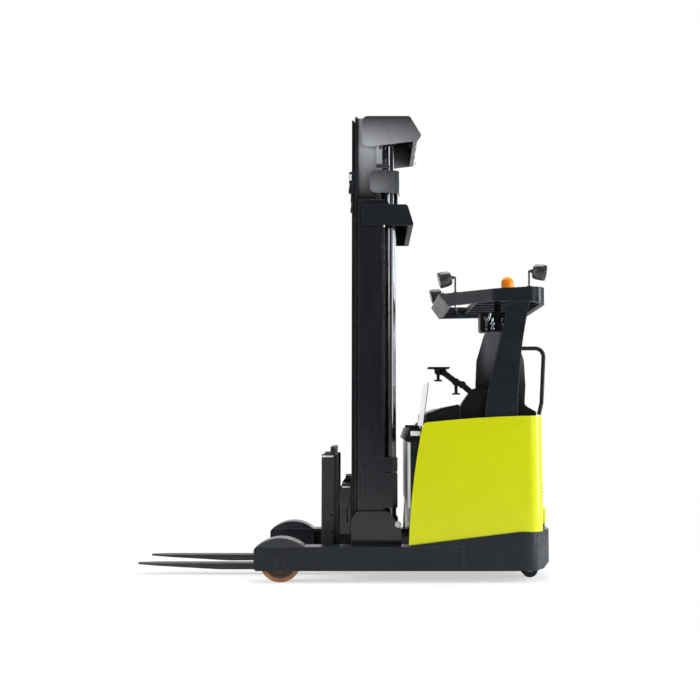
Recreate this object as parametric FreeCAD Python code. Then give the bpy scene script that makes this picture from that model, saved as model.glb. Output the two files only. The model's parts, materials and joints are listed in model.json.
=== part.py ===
"""Reach truck with a three-stage mast on a reach carriage, parked with its forks lowered.

Millimetres.  X runs from the fork tips (negative) to the drive end (positive), Y from the
side behind the seat (near, negative) to the entry side (far, positive), and Z is up.  The
origin is on the floor, below the middle of the truck's length and width.  Lengthways sizes
are measured back from the load axle, and the function at_axle turns them into X.
"""
import FreeCAD, Part
import math
import os

# Overall places, lengthways from the load axle
FORK_TIP_AHEAD = 1099.0
HALF_WIDTH = 635.0

# Room between pieces: moving ones, soft or seated ones, and a pin in its bore
CLEAR = 5.0
SOFT_GAP = 0.3
TILT_FIT = 0.05

# Battery, its front plate and its lid with the clamps of the clear screen
BATTERY_FRONT = 925.0
BATTERY_LENGTH = 350.0
BATTERY_REAR = BATTERY_FRONT + BATTERY_LENGTH
BATTERY_TOP = 985.0
BATTERY_SIDE_GAP = 6.0
FRONT_PLATE = 12.0
FRONT_PLATE_BOTTOM = 520.0
LID_FRONT = BATTERY_FRONT - 36.0
LID_TIP = BATTERY_FRONT + 75.0
LID_LEDGE = 1000.0
LID_TOP = 1085.0
LID_SLOPE = 30.0
LID_CORNER = 8.0
CLAMP_LENGTH = 84.0
CLAMP_HEIGHT = 21.0
CLAMP_WIDTH = 60.0
CLAMP_PLACES = (-555.0, 130.0)

# Legs that carry the load wheels
LEG_WIDTH = 150.0
LEG_BOTTOM = 82.0
LEG_TOP = 250.0
LEG_NOSE_AHEAD = 187.0
LEG_NOSE_RADIUS = 26.0
LEG_END = BATTERY_REAR + 25.0
LEG_PLATE = 18.0
WHEEL_POCKET_AHEAD = 157.0
WHEEL_POCKET_BEHIND = 160.0
CHANNEL_START = 176.0
CHANNEL_DEPTH = 74.0
CHANNEL_FLANGE = 24.0

# Load wheels and their covers
LOAD_WHEEL_RADIUS = 148.0
LOAD_TYRE_THICKNESS = 26.0
LOAD_WHEEL_WIDTH = 96.0
LOAD_AXLE_RADIUS = 20.0
LOAD_AXLE_HEAD_RADIUS = 27.0
LOAD_AXLE_HEAD = 5.0
HUB_DISH = 14.0
COVER_HALF_LENGTH = 170.0
COVER_RISE = 62.0
COVER_WALL = 8.0

# Drive wheel, its turntable and the bay above it
DRIVE_BAY_RADIUS = 200.0
DRIVE_BAY_WALL = 12.0
DRIVE_BAY_TOP = 398.0
DRIVE_BEHIND = BATTERY_REAR + 13.0 + DRIVE_BAY_WALL + DRIVE_BAY_RADIUS
DRIVE_SIDE = 110.0
DRIVE_WHEEL_RADIUS = 171.5
DRIVE_WHEEL_WIDTH = 114.0
DRIVE_TYRE_THICKNESS = 34.0
TURNTABLE_RADIUS = 118.0
TURNTABLE_FLANGE = 135.0
TURNTABLE_FLANGE_HEIGHT = 14.0
TURNTABLE_DEPTH = 24.0
TURNTABLE_DROP = 8.0
DRIVE_MOTOR_RADIUS = 96.0
DRIVE_MOTOR_HEIGHT = 52.0
GEARBOX_WIDTH = 52.0
GEARBOX_HALF_LENGTH = 70.0
GEARBOX_CORNER = 50.0
DRIVE_AXLE_RADIUS = 30.0

# Yellow body panels
BODY_HALF = HALF_WIDTH - 8.0
BODY_WALL = 25.0
BODY_REAR = DRIVE_BEHIND + 380.0
BODY_CORNER_RADIUS = 110.0
BODY_FRONT = BATTERY_FRONT - 13.0
BODY_FRONT_FOOT = 259.0
BODY_FRONT_MID = (BODY_FRONT + 32.0, 680.0)
BODY_FRONT_HIGH = (BODY_FRONT + 96.0, 1085.0)
BODY_SHOULDER = (BODY_FRONT + 140.0, 1130.0)
BODY_SHOULDER_TURN = 0.3
BODY_TOP_MID = (BODY_REAR - 440.0, 1163.0)
BODY_TOP_REAR = 1178.0
SIDE_PANEL_SPLIT = BODY_HALF - 227.0

# Base skirt under the body
BASE_REAR_HALF = HALF_WIDTH - 255.0
TAIL_BEHIND = BODY_REAR + 65.0
BASE_CORNER_BACK = TAIL_BEHIND - 145.0
BASE_CORNER_SIDE = 40.0
BASE_CORNER_RADIUS = 130.0
BASE_REAR_RADIUS = 90.0
BASE_SLOPE_END = BODY_REAR - 180.0
BASE_REAR_TOP = 355.0
BASE_WALL = 30.0
BASE_DECK = 24.0
BASE_CHAMFER_LENGTH = 60.0
BASE_CHAMFER_HEIGHT = 42.0
BASE_CROSS_WALL = 25.0

# Support castor on the near side
CASTOR_BEHIND = BODY_REAR - 108.0
CASTOR_SIDE = BASE_REAR_HALF - 28.0
CASTOR_TRAIL = 32.0
CASTOR_RADIUS = 60.0
CASTOR_WIDTH = 84.0
CASTOR_FORK_PLATE = 9.0
CASTOR_FORK_CORNER = 12.0
CASTOR_AXLE_RADIUS = 10.0
CASTOR_PLATE_RADIUS = 62.0
CASTOR_PLATE_HEIGHT = 14.0
CASTOR_STEM_RADIUS = 20.0
CASTOR_FORK_TOP = 150.0

# Rear service cover, bowed out below a vent
REAR_COVER_HALF = BASE_REAR_HALF + CLEAR
REAR_COVER_TOP = 800.0
REAR_COVER_MARGIN = 60.0
REAR_COVER_RADIUS = 40.0
REAR_VENT_BOTTOM = 610.0
REAR_VENT_SLOTS = 6
REAR_VENT_DEPTH = 12.0

# Console over the battery, with a bulkhead behind it down to the floor
BATTERY_HALF = BODY_HALF - BODY_WALL - BATTERY_SIDE_GAP
CONSOLE_HALF = BATTERY_HALF - 15.0
CONSOLE_FRONT = LID_TIP + 40.0
CONSOLE_FRONT_TOP = 1192.0
CONSOLE_REAR = BATTERY_REAR + 11.0
CONSOLE_REAR_TOP = 1262.0
CONSOLE_CROWN = (CONSOLE_FRONT + 130.0, CONSOLE_REAR_TOP - 26.0, 200.0)
CONSOLE_REAR_CORNER = 20.0
CONSOLE_FRONT_CORNER = 18.0
BULKHEAD = 9.0

# Clear screen that stands between the lid and the console
SCREEN_NEAR = -560.0
SCREEN_FAR = 160.0
SCREEN_SHOULDER = 60.0
SCREEN_NEAR_TOP = 1362.0
SCREEN_TOP = 1425.0
SCREEN_CORNER = 36.0
SCREEN_SHEET = 5.0
SCREEN_LEAN = 7.8
SCREEN_FOOT = LID_TIP + 2.0

# Operator's place
FLOOR_TOP = 500.0
FLOOR_PLATE = 20.0
ENTRY_FRONT = CONSOLE_REAR + 59.0
ENTRY_REAR = BODY_REAR - 80.0
ENTRY_SILL_RADIUS = 60.0
HOOD_NEAR = BODY_HALF - BODY_WALL - 12.0
HOOD_INNER = 170.0
HOOD_TOP = 900.0
HOOD_CORNER = 40.0
POST_OUTER = BODY_HALF - BODY_WALL - 2.0
POST_WIDTH = 44.0
SURROUND_OUTER = POST_OUTER - POST_WIDTH - 2.0
SURROUND_DEPTH = 100.0
SURROUND_TOP = 1374.0
# Surround's corners: ahead of the body's rear, height, rounding
SURROUND_OUTLINE = [(590.0, HOOD_TOP, 0.0), (583.0, CONSOLE_REAR_TOP, 30.0), (503.0, SURROUND_TOP, 40.0),
                    (180.0, SURROUND_TOP, 40.0), (116.0, 1247.0, 50.0), (42.0, 1206.0, 10.0),
                    (42.0, HOOD_TOP, 0.0)]
SEAT_MIDDLE = BODY_REAR - 285.0
SEAT_HALF = 215.0
CUSHION_THICKNESS = 105.0
CUSHION_BACK = 395.0
CUSHION_DEPTH = 470.0
CUSHION_REAR_CORNER = 40.0
CUSHION_FRONT_CORNER = 60.0
SEAT_SHELL = 14.0
SEAT_SHELL_MARGIN = 8.0
SEAT_BACK_THICKNESS = 75.0
SEAT_BACK_FOOT = HOOD_TOP + CUSHION_THICKNESS + 2.0 * SOFT_GAP
# Seat back's half outline: half width, height, rounding
SEAT_BACK_OUTLINE = [(170.0, SEAT_BACK_FOOT, 30.0), (192.0, 1400.0, 60.0), (183.0, 1580.0, 60.0),
                     (118.0, 1796.0, 50.0)]

# Steering wheel on its pod behind the console
POD_REAR = CONSOLE_REAR + 154.0
POD_SIDES = (250.0, 410.0)
POD_HEIGHTS = (905.0, 975.0)
POD_CORNER = 30.0
STEERING_PLACE = (CONSOLE_REAR + 114.0, 330.0)
STEERING_RADIUS = 98.0
STEERING_RIM = 11.0
STEERING_HUB = 26.0
STEERING_LIFT = 32.0
STEERING_SPOKES = 3
STEERING_SPOKE_WIDTH = 18.0
STEERING_KNOB = 16.0
STEERING_KNOB_HEIGHT = 38.0

# Hydraulic levers beside the seat and the pedals on the floor
LEVER_BOX = (BODY_REAR - BODY_WALL - 115.0, CUSHION_DEPTH - CUSHION_BACK + 8.0,
             CUSHION_DEPTH - CUSHION_BACK + 208.0, 940.0, 1020.0)
LEVER_BOX_CORNER = 30.0
LEVERS = 4
LEVER_RADIUS = 5.0
LEVER_KNOB = 13.0
LEVER_HEIGHT = 62.0
PEDAL_FRONTS = (CONSOLE_REAR + 164.0, CONSOLE_REAR + 294.0)
PEDAL_LENGTH = 90.0
PEDAL_SIDES = (400.0, 500.0)
PEDAL_RISE = 44.0
PEDAL_PLATE = 10.0

# Overhead guard, placed from the body's rear
POST_FRONT_LOW = (BODY_REAR - 417.0, 1160.0)
POST_FRONT_MID = (BODY_REAR - 400.0, 1330.0)
POST_FRONT_HIGH = (BODY_REAR - 237.0, 2005.0)
POST_REAR_LOW = BODY_REAR - 182.0
POST_REAR_MID = (BODY_REAR - 174.0, 1400.0)
POST_REAR_HIGH = (BODY_REAR - 86.0, 2005.0)
FAR_POST_FRONT_LOW = BODY_REAR - 138.0
FAR_POST_SIDE = POST_OUTER - 10.0
FAR_POST_REAR_LOW = BODY_REAR - 18.0
FAR_POST_REAR_TOP = BODY_REAR - 50.0
GUARD_FRONT_TOP = (BODY_REAR - 735.0, 2078.0)
GUARD_FRONT_BOTTOM = (BODY_REAR - 667.0, 1988.0)
GUARD_FRONT_HALF = POST_OUTER - 168.0
GUARD_WIDE_START = POST_FRONT_HIGH[0] - 83.0
GUARD_SIDE_BEND = 300.0
GUARD_UNDER_MID = (BODY_REAR - 340.0, 2008.0)
GUARD_REAR = BODY_REAR + 40.0
GUARD_REAR_BOTTOM = 1990.0
GUARD_TOP = 2113.0
GUARD_CORNER_RADIUS = 120.0
GUARD_WALL = 36.0
GUARD_BEAM = 30.0
GUARD_BEAM_RISE = (6.0, 2.0)
GUARD_BARS = 6
GUARD_BAR_WIDTH = 26.0
GUARD_BAR_HEIGHT = 34.0
GUARD_BAR_SKEW = 110.0
GUARD_BAR_DROP = 46.0
GUARD_BAR_DIP = 16.0

# Grab handle behind the post
HANDLE_RADIUS = 15.0
HANDLE_SIDE = POST_OUTER - POST_WIDTH - 36.0
HANDLE_TOP = 1667.0
HANDLE_BACK = BODY_REAR + 25.0
HANDLE_FOOT = BODY_REAR - 18.0
HANDLE_FOOT_LIFT = 6.0
HANDLE_START = BODY_REAR - 190.0
HANDLE_ROOT_BEND = 24.0
HANDLE_BEND = 60.0
HANDLE_TUCK = 22.0
HANDLE_LOW = 1270.0

# Lights on the guard: ahead of the body's rear, height, downward tilt in degrees, way it faces
LAMPS = [(684.0, 2173.0, 14.0, -1.0), (16.0, 2213.0, 8.0, 1.0)]
LAMP_RADIUS = 60.0
LAMP_RIM = 30.0
LAMP_DEPTH = 98.0
LAMP_BACK_RADIUS = 26.0
LAMP_STEM_RADIUS = 7.0
LAMP_STEM_REACH = 22.0
LAMP_STEM_BEND = 16.0
LAMP_CORNER = 8.0
LAMP_BULGE = 22.0
BEACON_PLACE = (BODY_REAR - 158.0, 0.0)
BEACON_RADIUS = 50.0
BEACON_RING = 6.0
BEACON_WAIST = 42.0
BEACON_BASE = 115.0

# Unit under the guard: ahead of the body's rear, sides, heights; its hanger: bar, length, sides
ROOF_UNIT = (423.0, 223.0, -400.0, -260.0, 1800.0, 1949.0)
ROOF_UNIT_CORNER = 22.0
ROOF_HANGER = (3, 50.0, -340.0, -322.0)

# Folding arm with a plate for a terminal, standing on the seat surround
ARM_SIDE = -500.0
ARM_RADIUS = 13.0
ARM_KNUCKLE = 19.0
ARM_KNUCKLE_HALF = 24.0
ARM_BASE = 30.0
ARM_BASE_HEIGHT = 10.0
# Arm's knuckles, ahead of the body's rear and height, from the base to the plate
ARM_POINTS = [(462.0, 1396.0), (563.0, 1424.0), (622.0, 1434.0), (716.0, 1500.0), (746.0, 1508.0)]
ARM_PLATE = (823.0, 665.0, 62.0)
ARM_PLATE_HEIGHTS = (1518.0, 1530.0)
ARM_PLATE_CORNER = 16.0
# Screws that hang below the knuckles: ahead of the body's rear, top, bottom
ARM_SCREWS = [(746.0, 1508.0, 1427.0), (616.0, 1434.0, 1330.0)]
ARM_SCREW_RADIUS = 10.0
ARM_FOOT_RADIUS = 30.0
ARM_FOOT_HEIGHT = 10.0

# Reach carriage
REACH_PLATE_OUTER = HALF_WIDTH - LEG_WIDTH - 33.0
REACH_PLATE = 22.0
REACH_FRONT = 500.0
REACH_REAR = 866.0
REACH_BOTTOM = 100.0
REACH_HEIGHT = 480.0
REACH_REAR_HEIGHT = 352.0
REACH_NOSE = 60.0
REACH_SHOULDER = (40.0, 90.0)
REACH_CORNER = 20.0
REACH_ARM_CORNER = 30.0
REACH_ARM_END = 1140.0
REACH_ROLLER_FRONT = 742.0
REACH_ROLLER_REAR = 1085.0
REACH_ROLLER_WIDTH = 44.0
REACH_ROLLER_GAP = 0.4
REACH_BEAM = 90.0
REACH_BEAM_TOP = 245.0

# Mast stages, each a pair of rails joined by cross members
RAIL_DEPTH = 183.0
RAIL_STEP = 25.0
RAIL_FLANGE = 18.0
RAIL_WEB = 14.0
RAIL_GAP = 6.0
STAGE_GAP = 10.0
OUTER_FRONT = 547.0
OUTER_REAR = OUTER_FRONT + RAIL_DEPTH
OUTER_WEB = REACH_PLATE_OUTER - REACH_PLATE - 32.0
OUTER_FLANGE = 58.0
MIDDLE_FRONT = OUTER_FRONT - RAIL_STEP
MIDDLE_REAR = MIDDLE_FRONT + RAIL_DEPTH
MIDDLE_WEB = OUTER_WEB - RAIL_WEB - OUTER_FLANGE - RAIL_GAP
MIDDLE_FLANGE = 30.0
MIDDLE_INNER_FLANGE = 44.0
INNER_FRONT = MIDDLE_FRONT - RAIL_STEP
INNER_REAR = INNER_FRONT + RAIL_DEPTH
INNER_WEB = MIDDLE_WEB - RAIL_WEB - MIDDLE_INNER_FLANGE - STAGE_GAP
INNER_FLANGE = 40.0
INNER_INNER_FLANGE = 44.0
MAST_TOP = 3450.0
INNER_TOP = 3441.0
OUTER_TOP = 2800.0
OUTER_BOTTOM = 262.0
OUTER_FOOT_TOP = 450.0
MIDDLE_BOTTOM = 290.0
INNER_BOTTOM = 300.0
SLIDE_PAD_HEIGHT = 90.0
CROSS_PLATE = 15.0
CROSS_HEIGHT = 110.0
OUTER_CROSS_LOW = 740.0
OUTER_CROSS_MIDDLE = 1180.0

# Mast chains over sheaves on the middle stage, from the outer stage to the inner
CHAIN_WIDTH = 26.0
CHAIN_THICKNESS = 12.0
CHAIN_SIDE = INNER_WEB - 17.0
CHAIN_RUN = 6.0
MAST_SHEAVE_RADIUS = 39.0
MAST_SHEAVE_HEIGHT = MAST_TOP - 62.0
MAST_SHEAVE_PIN = 10.0
MAST_SHEAVE_BRACKET = 12.0
CHAIN_ANCHOR = 60.0
INNER_CROSS_HALF = CHAIN_SIDE - CHAIN_WIDTH / 2.0 - CLEAR

# Lift cylinders behind the mast
LIFT_CYLINDER_BEHIND = 790.0
LIFT_CYLINDER_SIDE = OUTER_WEB - 80.0
LIFT_BARREL_RADIUS = 41.0
LIFT_BARREL_BOTTOM = 345.0
LIFT_FOOT_PLATE = 20.0
LIFT_BARREL_TOP = 2640.0
LIFT_BORE_RADIUS = 33.0
LIFT_ROD_RADIUS = 26.0
LIFT_ROD_TOP = 3260.0
LIFT_ROD_FIT = 0.06
LIFT_ROD_SEAT = 40.0
GLAND_LENGTH = 60.0
YOKE_HEIGHT = 34.0

# Clamp plates that wrap the lift cylinders: front, low, high, front corners' rounding
CLAMP_WALL = 8.0
CLAMP_ROOM = 1.0
CLAMP_BEND = 50.0
CLAMP_INWARD = 60.0
CYLINDER_CLAMPS = [(OUTER_FRONT + 13.0, 765.0, 871.0, 24.0), (OUTER_FRONT + 30.0, 502.0, 757.0, 34.0)]
# Clamp plate round the rods on the middle stage, with the lug above it
ROD_CLAMP = (MIDDLE_FRONT + 114.0, 2863.0, 3036.0, 40.0)
ROD_CLAMP_REAR = LIFT_CYLINDER_BEHIND + 73.0
ROD_CLAMP_BEND = 68.0
ROD_LUG = (MIDDLE_FRONT + 160.0, MIDDLE_FRONT + 251.0, 3052.0, 3083.0)
# Clips on the middle stage's front flange
CLIP_AHEAD = 45.0
CLIP_BEHIND = 23.0
CLIP_HEIGHTS = (2931.0, 3023.0)
CLIP_DROP = 70.0
CLIP_WALL = 4.0
CLIP_INNER = 310.0
CLIP_CORNER = 10.0

# Covers at the mast: front top, slope, rear top, rear lip and front bottom
MAST_COVER_WALL = 7.0
COVER_CORNER = 24.0
TOP_COVER_SIDE = MIDDLE_WEB + MIDDLE_FLANGE + 13.0
TOP_COVER_OUTLINE = [(598.0, 3466.0), (938.0, 3466.0), (1027.0, 3321.0), (1004.0, 3281.0), (598.0, 3228.0)]
SECOND_ROOF_FRONT = 842.0
SECOND_COVER_SIDE = OUTER_WEB + 26.0
SECOND_COVER_OUTLINE = [(576.0, 2758.0), (916.0, 2758.0), (950.0, 2650.0), (965.0, 2598.0), (576.0, 2602.0)]

# Free lift cylinder in the middle of the inner stage, with its chains
FREE_BEHIND = 600.0
FREE_BARREL_RADIUS = 48.0
FREE_BORE_RADIUS = 40.0
FREE_ROD_RADIUS = 32.0
FREE_BARREL_BOTTOM = 420.0
FREE_BARREL_TOP = 1790.0
FREE_HEAD_HEIGHT = 110.0
FREE_HEAD_HALF = 61.0
SHEAVE_RADIUS = 55.0
SHEAVE_SIDE = 82.0
SHEAVE_PIN = 12.0
FREE_ANCHOR_HEIGHT = 620.0
FREE_ANCHOR_PLATE = 20.0

# Lift carriage that runs in the inner stage
CARRIAGE_PLATE_SIDE = INNER_WEB - RAIL_WEB - INNER_INNER_FLANGE - 8.0
CARRIAGE_PLATE = 26.0
CARRIAGE_PLATE_REACH = 40.0
CARRIAGE_FRONT = 412.0
CARRIAGE_TOP = 678.0
CARRIAGE_BOTTOM = 300.0
CARRIAGE_PLATE_BOTTOM = 330.0
CARRIAGE_CHEEK_SIDE = 300.0
CARRIAGE_CHEEK = 30.0
CARRIAGE_CHEEK_SLOPE = (22.0, 34.0)
CARRIAGE_CORNER = 10.0
CARRIAGE_BAR = 44.0
CARRIAGE_BAR_HEIGHT = 60.0
CARRIAGE_BAR_INSET = (30.0, 75.0)
CARRIAGE_SLOT = (12.0, 140.0)
CARRIAGE_SLOT_PLACE = (469.0, 357.0)
CARRIAGE_ROLLER_WIDTH = 44.0
CARRIAGE_ROLLER_GAP = 0.5
CARRIAGE_ROLLERS = (390.0, 590.0)

# Fork frame that tilts on the lift carriage, and the forks
TILT_BEHIND = 438.0
TILT_HEIGHT = 542.0
TILT_PIN_RADIUS = 24.0
TILT_EAR_RADIUS = 36.0
FORK_FRAME_SIDE = 300.0
FORK_FRAME_PLATE = 24.0
FORK_FRAME_TOP = 892.0
FORK_FRAME_BOTTOM = 95.0
# Side plate's corners: place, height, rounding
FORK_FRAME_OUTLINE = [(286.0, FORK_FRAME_BOTTOM, 8.0), (365.0, FORK_FRAME_BOTTOM, 14.0),
                      (365.0, FORK_FRAME_TOP, 8.0), (274.0, FORK_FRAME_TOP, 8.0)]
FORK_FRAME_HOLES = [(347.0, 441.0), (354.0, 318.0)]
FORK_FRAME_HOLE = 9.0
FORK_RIB_REAR = 400.0
FORK_RIB_BOTTOM = 130.0
FORK_BAR = 40.0
FORK_BAR_HEIGHT = 90.0
FORK_BAR_BOTTOMS = (155.0, 500.0, 780.0)
FORK_TOP_BAR = (339.0, 377.0, 862.0, 945.0)
FORK_SPREAD = 223.0
FORK_WIDTH = 100.0
FORK_THICKNESS = 45.0
FORK_TOP = 83.0
FORK_SHANK_FRONT = 273.0
FORK_SHANK_TOP = 886.0
FORK_HEEL_RADIUS = 60.0
FORK_HEEL_INNER = 18.0
FORK_TIP_THICKNESS = 10.0
FORK_TAPER_START = 620.0
FORK_TAPER_BEND = 300.0
FORK_TIP_POINT = 150.0
FORK_TIP_WIDTH = 50.0
FORK_TIP_BENDS = (80.0, 20.0)

X_AXLE = (FORK_TIP_AHEAD - TAIL_BEHIND) / 2.0
FAR_OUT = 4000.0


def at_axle(back):
    """X of a place that lies this far behind the load axle."""
    return X_AXLE + back


def rounded_wire(corners, place):
    """Closed wire through corners (a, b, radius), each rounded by a tangent arc."""
    count = len(corners)
    edges = []
    joints = []
    for i in range(count):
        a, b, radius = corners[i]
        before = corners[i - 1]
        after = corners[(i + 1) % count]
        into = (a - before[0], b - before[1])
        out = (after[0] - a, after[1] - b)
        into_length = math.hypot(*into)
        out_length = math.hypot(*out)
        into = (into[0] / into_length, into[1] / into_length)
        out = (out[0] / out_length, out[1] / out_length)
        if radius <= 0.0:
            joints.append(((a, b), None, (a, b)))
            continue
        cosine = max(-1.0, min(1.0, -into[0] * out[0] - into[1] * out[1]))
        half = math.acos(cosine) / 2.0
        cut = radius / math.tan(half)
        first = (a - into[0] * cut, b - into[1] * cut)
        last = (a + out[0] * cut, b + out[1] * cut)
        inward = (out[0] - into[0], out[1] - into[1])
        size = math.hypot(*inward)
        reach = radius / math.sin(half) - radius
        middle = (a + inward[0] / size * reach, b + inward[1] / size * reach)
        joints.append((first, middle, last))
    for i in range(count):
        first, middle, last = joints[i]
        if middle:
            edges.append(Part.Arc(place(*first), place(*middle), place(*last)).toShape())
        start = place(*last)
        end = place(*joints[(i + 1) % count][0])
        if start.distanceToPoint(end) > 1e-6:
            edges.append(Part.makeLine(start, end))
    return Part.Wire(edges)


def sharp(points):
    """The same corners with no rounding."""
    return [(a, b, 0.0) for a, b in points]


def plate_y(corners, y_low, y_high):
    """Solid whose outline lies in X and Z, from one Y to another."""
    low = min(y_low, y_high)
    wire = rounded_wire(corners, lambda a, b: FreeCAD.Vector(at_axle(a), low, b))
    return Part.Face(wire).extrude(FreeCAD.Vector(0, abs(y_high - y_low), 0))


def plate_z(corners, z_low, z_high):
    """Solid whose outline lies in X and Y, from one height to another."""
    wire = rounded_wire(corners, lambda a, b: FreeCAD.Vector(at_axle(a), b, z_low))
    return Part.Face(wire).extrude(FreeCAD.Vector(0, 0, z_high - z_low))


def plate_x(corners, back_low, back_high):
    """Solid whose outline lies in Y and Z, from one lengthways place to another."""
    wire = rounded_wire(corners, lambda a, b: FreeCAD.Vector(at_axle(back_low), a, b))
    return Part.Face(wire).extrude(FreeCAD.Vector(back_high - back_low, 0, 0))


def block(back_low, back_high, y_low, y_high, z_low, z_high):
    """Box between two places on each axis."""
    corner = FreeCAD.Vector(at_axle(back_low), min(y_low, y_high), z_low)
    return Part.makeBox(back_high - back_low, abs(y_high - y_low), z_high - z_low, corner)


def rod_y(back, z, radius, y_low, y_high):
    """Round bar across the truck."""
    low = min(y_low, y_high)
    base = FreeCAD.Vector(at_axle(back), low, z)
    return Part.makeCylinder(radius, abs(y_high - y_low), base, FreeCAD.Vector(0, 1, 0))


def rod_z(back, y, radius, z_low, z_high):
    """Round bar standing upright."""
    base = FreeCAD.Vector(at_axle(back), y, z_low)
    return Part.makeCylinder(radius, z_high - z_low, base, FreeCAD.Vector(0, 0, 1))


def join(*shapes):
    """One solid from pieces that meet."""
    whole = shapes[0].multiFuse(list(shapes[1:])) if len(shapes) > 1 else shapes[0]
    return whole.removeSplitter()


def group(*shapes):
    """Pieces that stay apart in one node."""
    return Part.Compound(list(shapes))


def far_copy(shape):
    """The same piece on the far side."""
    return shape.mirror(FreeCAD.Vector(0, 0, 0), FreeCAD.Vector(0, 1, 0))


def near_and_far(shape):
    """Near piece with its far twin, as one node."""
    return [shape, far_copy(shape)]


def tube_path(places, radius):
    """Bent round bar along places (point, bend radius), joined by tangent arcs."""
    points = [point for point, _ in places]
    edges = []
    start = points[0]
    for i in range(1, len(points) - 1):
        corner, bend = places[i]
        into = (corner - points[i - 1]).normalize()
        out = (points[i + 1] - corner).normalize()
        half = (math.pi - into.getAngle(out)) / 2.0
        cut = bend / math.tan(half)
        first = corner - into * cut
        last = corner + out * cut
        inward = (out - into).normalize()
        middle = corner + inward * (bend / math.sin(half) - bend)
        edges.append(Part.makeLine(start, first))
        edges.append(Part.Arc(first, middle, last).toShape())
        start = last
    edges.append(Part.makeLine(start, points[-1]))
    path = Part.Wire(edges)
    ring = Part.Wire(Part.makeCircle(radius, points[0], points[1] - points[0]))
    return path.makePipeShell([ring], True, False)


def strut(start, end, radius):
    """Round bar from one point to another."""
    along = end - start
    return Part.makeCylinder(radius, along.Length, start, along)


def ahead(distance):
    """Place that lies this far ahead of the body's rear."""
    return BODY_REAR - distance


def leg():
    """Near leg: a box with an open pocket for the wheel and a rail for the reach rollers."""
    inner = -(HALF_WIDTH - LEG_WIDTH)
    outline = [(-LEG_NOSE_AHEAD, LEG_BOTTOM, LEG_NOSE_RADIUS), (LEG_END, LEG_BOTTOM, 0.0),
               (LEG_END, LEG_TOP, 0.0), (-LEG_NOSE_AHEAD, LEG_TOP, LEG_NOSE_RADIUS)]
    body = plate_y(outline, -HALF_WIDTH, inner)
    pocket = block(-WHEEL_POCKET_AHEAD, WHEEL_POCKET_BEHIND, -HALF_WIDTH + LEG_PLATE,
                   inner - LEG_PLATE, 0.0, LEG_TOP + CLEAR)
    channel = block(CHANNEL_START, LEG_END, inner - CHANNEL_DEPTH, inner + CLEAR,
                    LEG_BOTTOM + CHANNEL_FLANGE, LEG_TOP - CHANNEL_FLANGE)
    axle_hole = rod_y(0.0, LOAD_WHEEL_RADIUS, LOAD_AXLE_RADIUS, -HALF_WIDTH, inner)
    head = rod_y(0.0, LOAD_WHEEL_RADIUS, LOAD_AXLE_HEAD_RADIUS, -HALF_WIDTH,
                 -HALF_WIDTH + LOAD_AXLE_HEAD)
    return body.cut(pocket).cut(channel).cut(axle_hole).cut(head)


def load_axle():
    """Near load axle with its flat head let into the leg's side."""
    pin = rod_y(0.0, LOAD_WHEEL_RADIUS, LOAD_AXLE_RADIUS, -HALF_WIDTH, -(HALF_WIDTH - LEG_WIDTH))
    head = rod_y(0.0, LOAD_WHEEL_RADIUS, LOAD_AXLE_HEAD_RADIUS, -HALF_WIDTH,
                 -HALF_WIDTH + LOAD_AXLE_HEAD)
    return join(pin, head)


def wheel_ring(back, side, z, outer, inner, width):
    """Ring across the truck, for a tyre or a hub."""
    ring = rod_y(back, z, outer, side - width / 2.0, side + width / 2.0)
    return ring.cut(rod_y(back, z, inner, side - width / 2.0, side + width / 2.0))


def dished_hub(back, side, z, outer, bore, width):
    """Wheel centre with both faces dished between rim and boss."""
    hub = wheel_ring(back, side, z, outer, bore, width)
    dish_outer = outer - HUB_DISH
    dish_inner = bore + HUB_DISH
    for face in (-1.0, 1.0):
        edge = side + face * width / 2.0
        ring = rod_y(back, z, dish_outer, edge, edge - face * HUB_DISH)
        ring = ring.cut(rod_y(back, z, dish_inner, edge, edge - face * HUB_DISH))
        hub = hub.cut(ring)
    return hub


def wheel_cover():
    """Near arched cover over the load wheel, closed at its sides."""
    inner = -(HALF_WIDTH - LEG_WIDTH)

    def arch(half, rise, y_low, y_high):
        left = FreeCAD.Vector(at_axle(-half), y_low, LEG_TOP)
        right = FreeCAD.Vector(at_axle(half), y_low, LEG_TOP)
        peak = FreeCAD.Vector(at_axle(0.0), y_low, LEG_TOP + rise)
        wire = Part.Wire([Part.Arc(left, peak, right).toShape(), Part.makeLine(right, left)])
        return Part.Face(wire).extrude(FreeCAD.Vector(0, y_high - y_low, 0))

    outside = arch(COVER_HALF_LENGTH, COVER_RISE, -HALF_WIDTH, inner)
    inside = arch(COVER_HALF_LENGTH - COVER_WALL * 3.0, COVER_RISE - COVER_WALL,
                  -HALF_WIDTH + COVER_WALL, inner - COVER_WALL)
    return outside.cut(inside)


def base_outline(inset):
    """Plan of the base skirt, drawn in by the inset."""
    half = HALF_WIDTH - inset
    rear = TAIL_BEHIND - inset
    corner = BASE_CORNER_RADIUS - inset
    tail = BASE_REAR_RADIUS - inset
    tail_half = BASE_REAR_HALF + BASE_CORNER_SIDE
    side_end = BASE_CORNER_BACK - inset / 2.0
    return [(BODY_FRONT, -half, 0.0), (side_end, -half, corner), (rear, -tail_half, tail),
            (rear, tail_half, tail), (side_end, half, corner), (BODY_FRONT, half, 0.0)]


def base_top(back):
    """Height of the base's sloping top edge."""
    run = min(1.0, (back - BODY_FRONT) / (BASE_SLOPE_END - BODY_FRONT))
    return BODY_FRONT_FOOT + run * (BASE_REAR_TOP - BODY_FRONT_FOOT)


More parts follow.
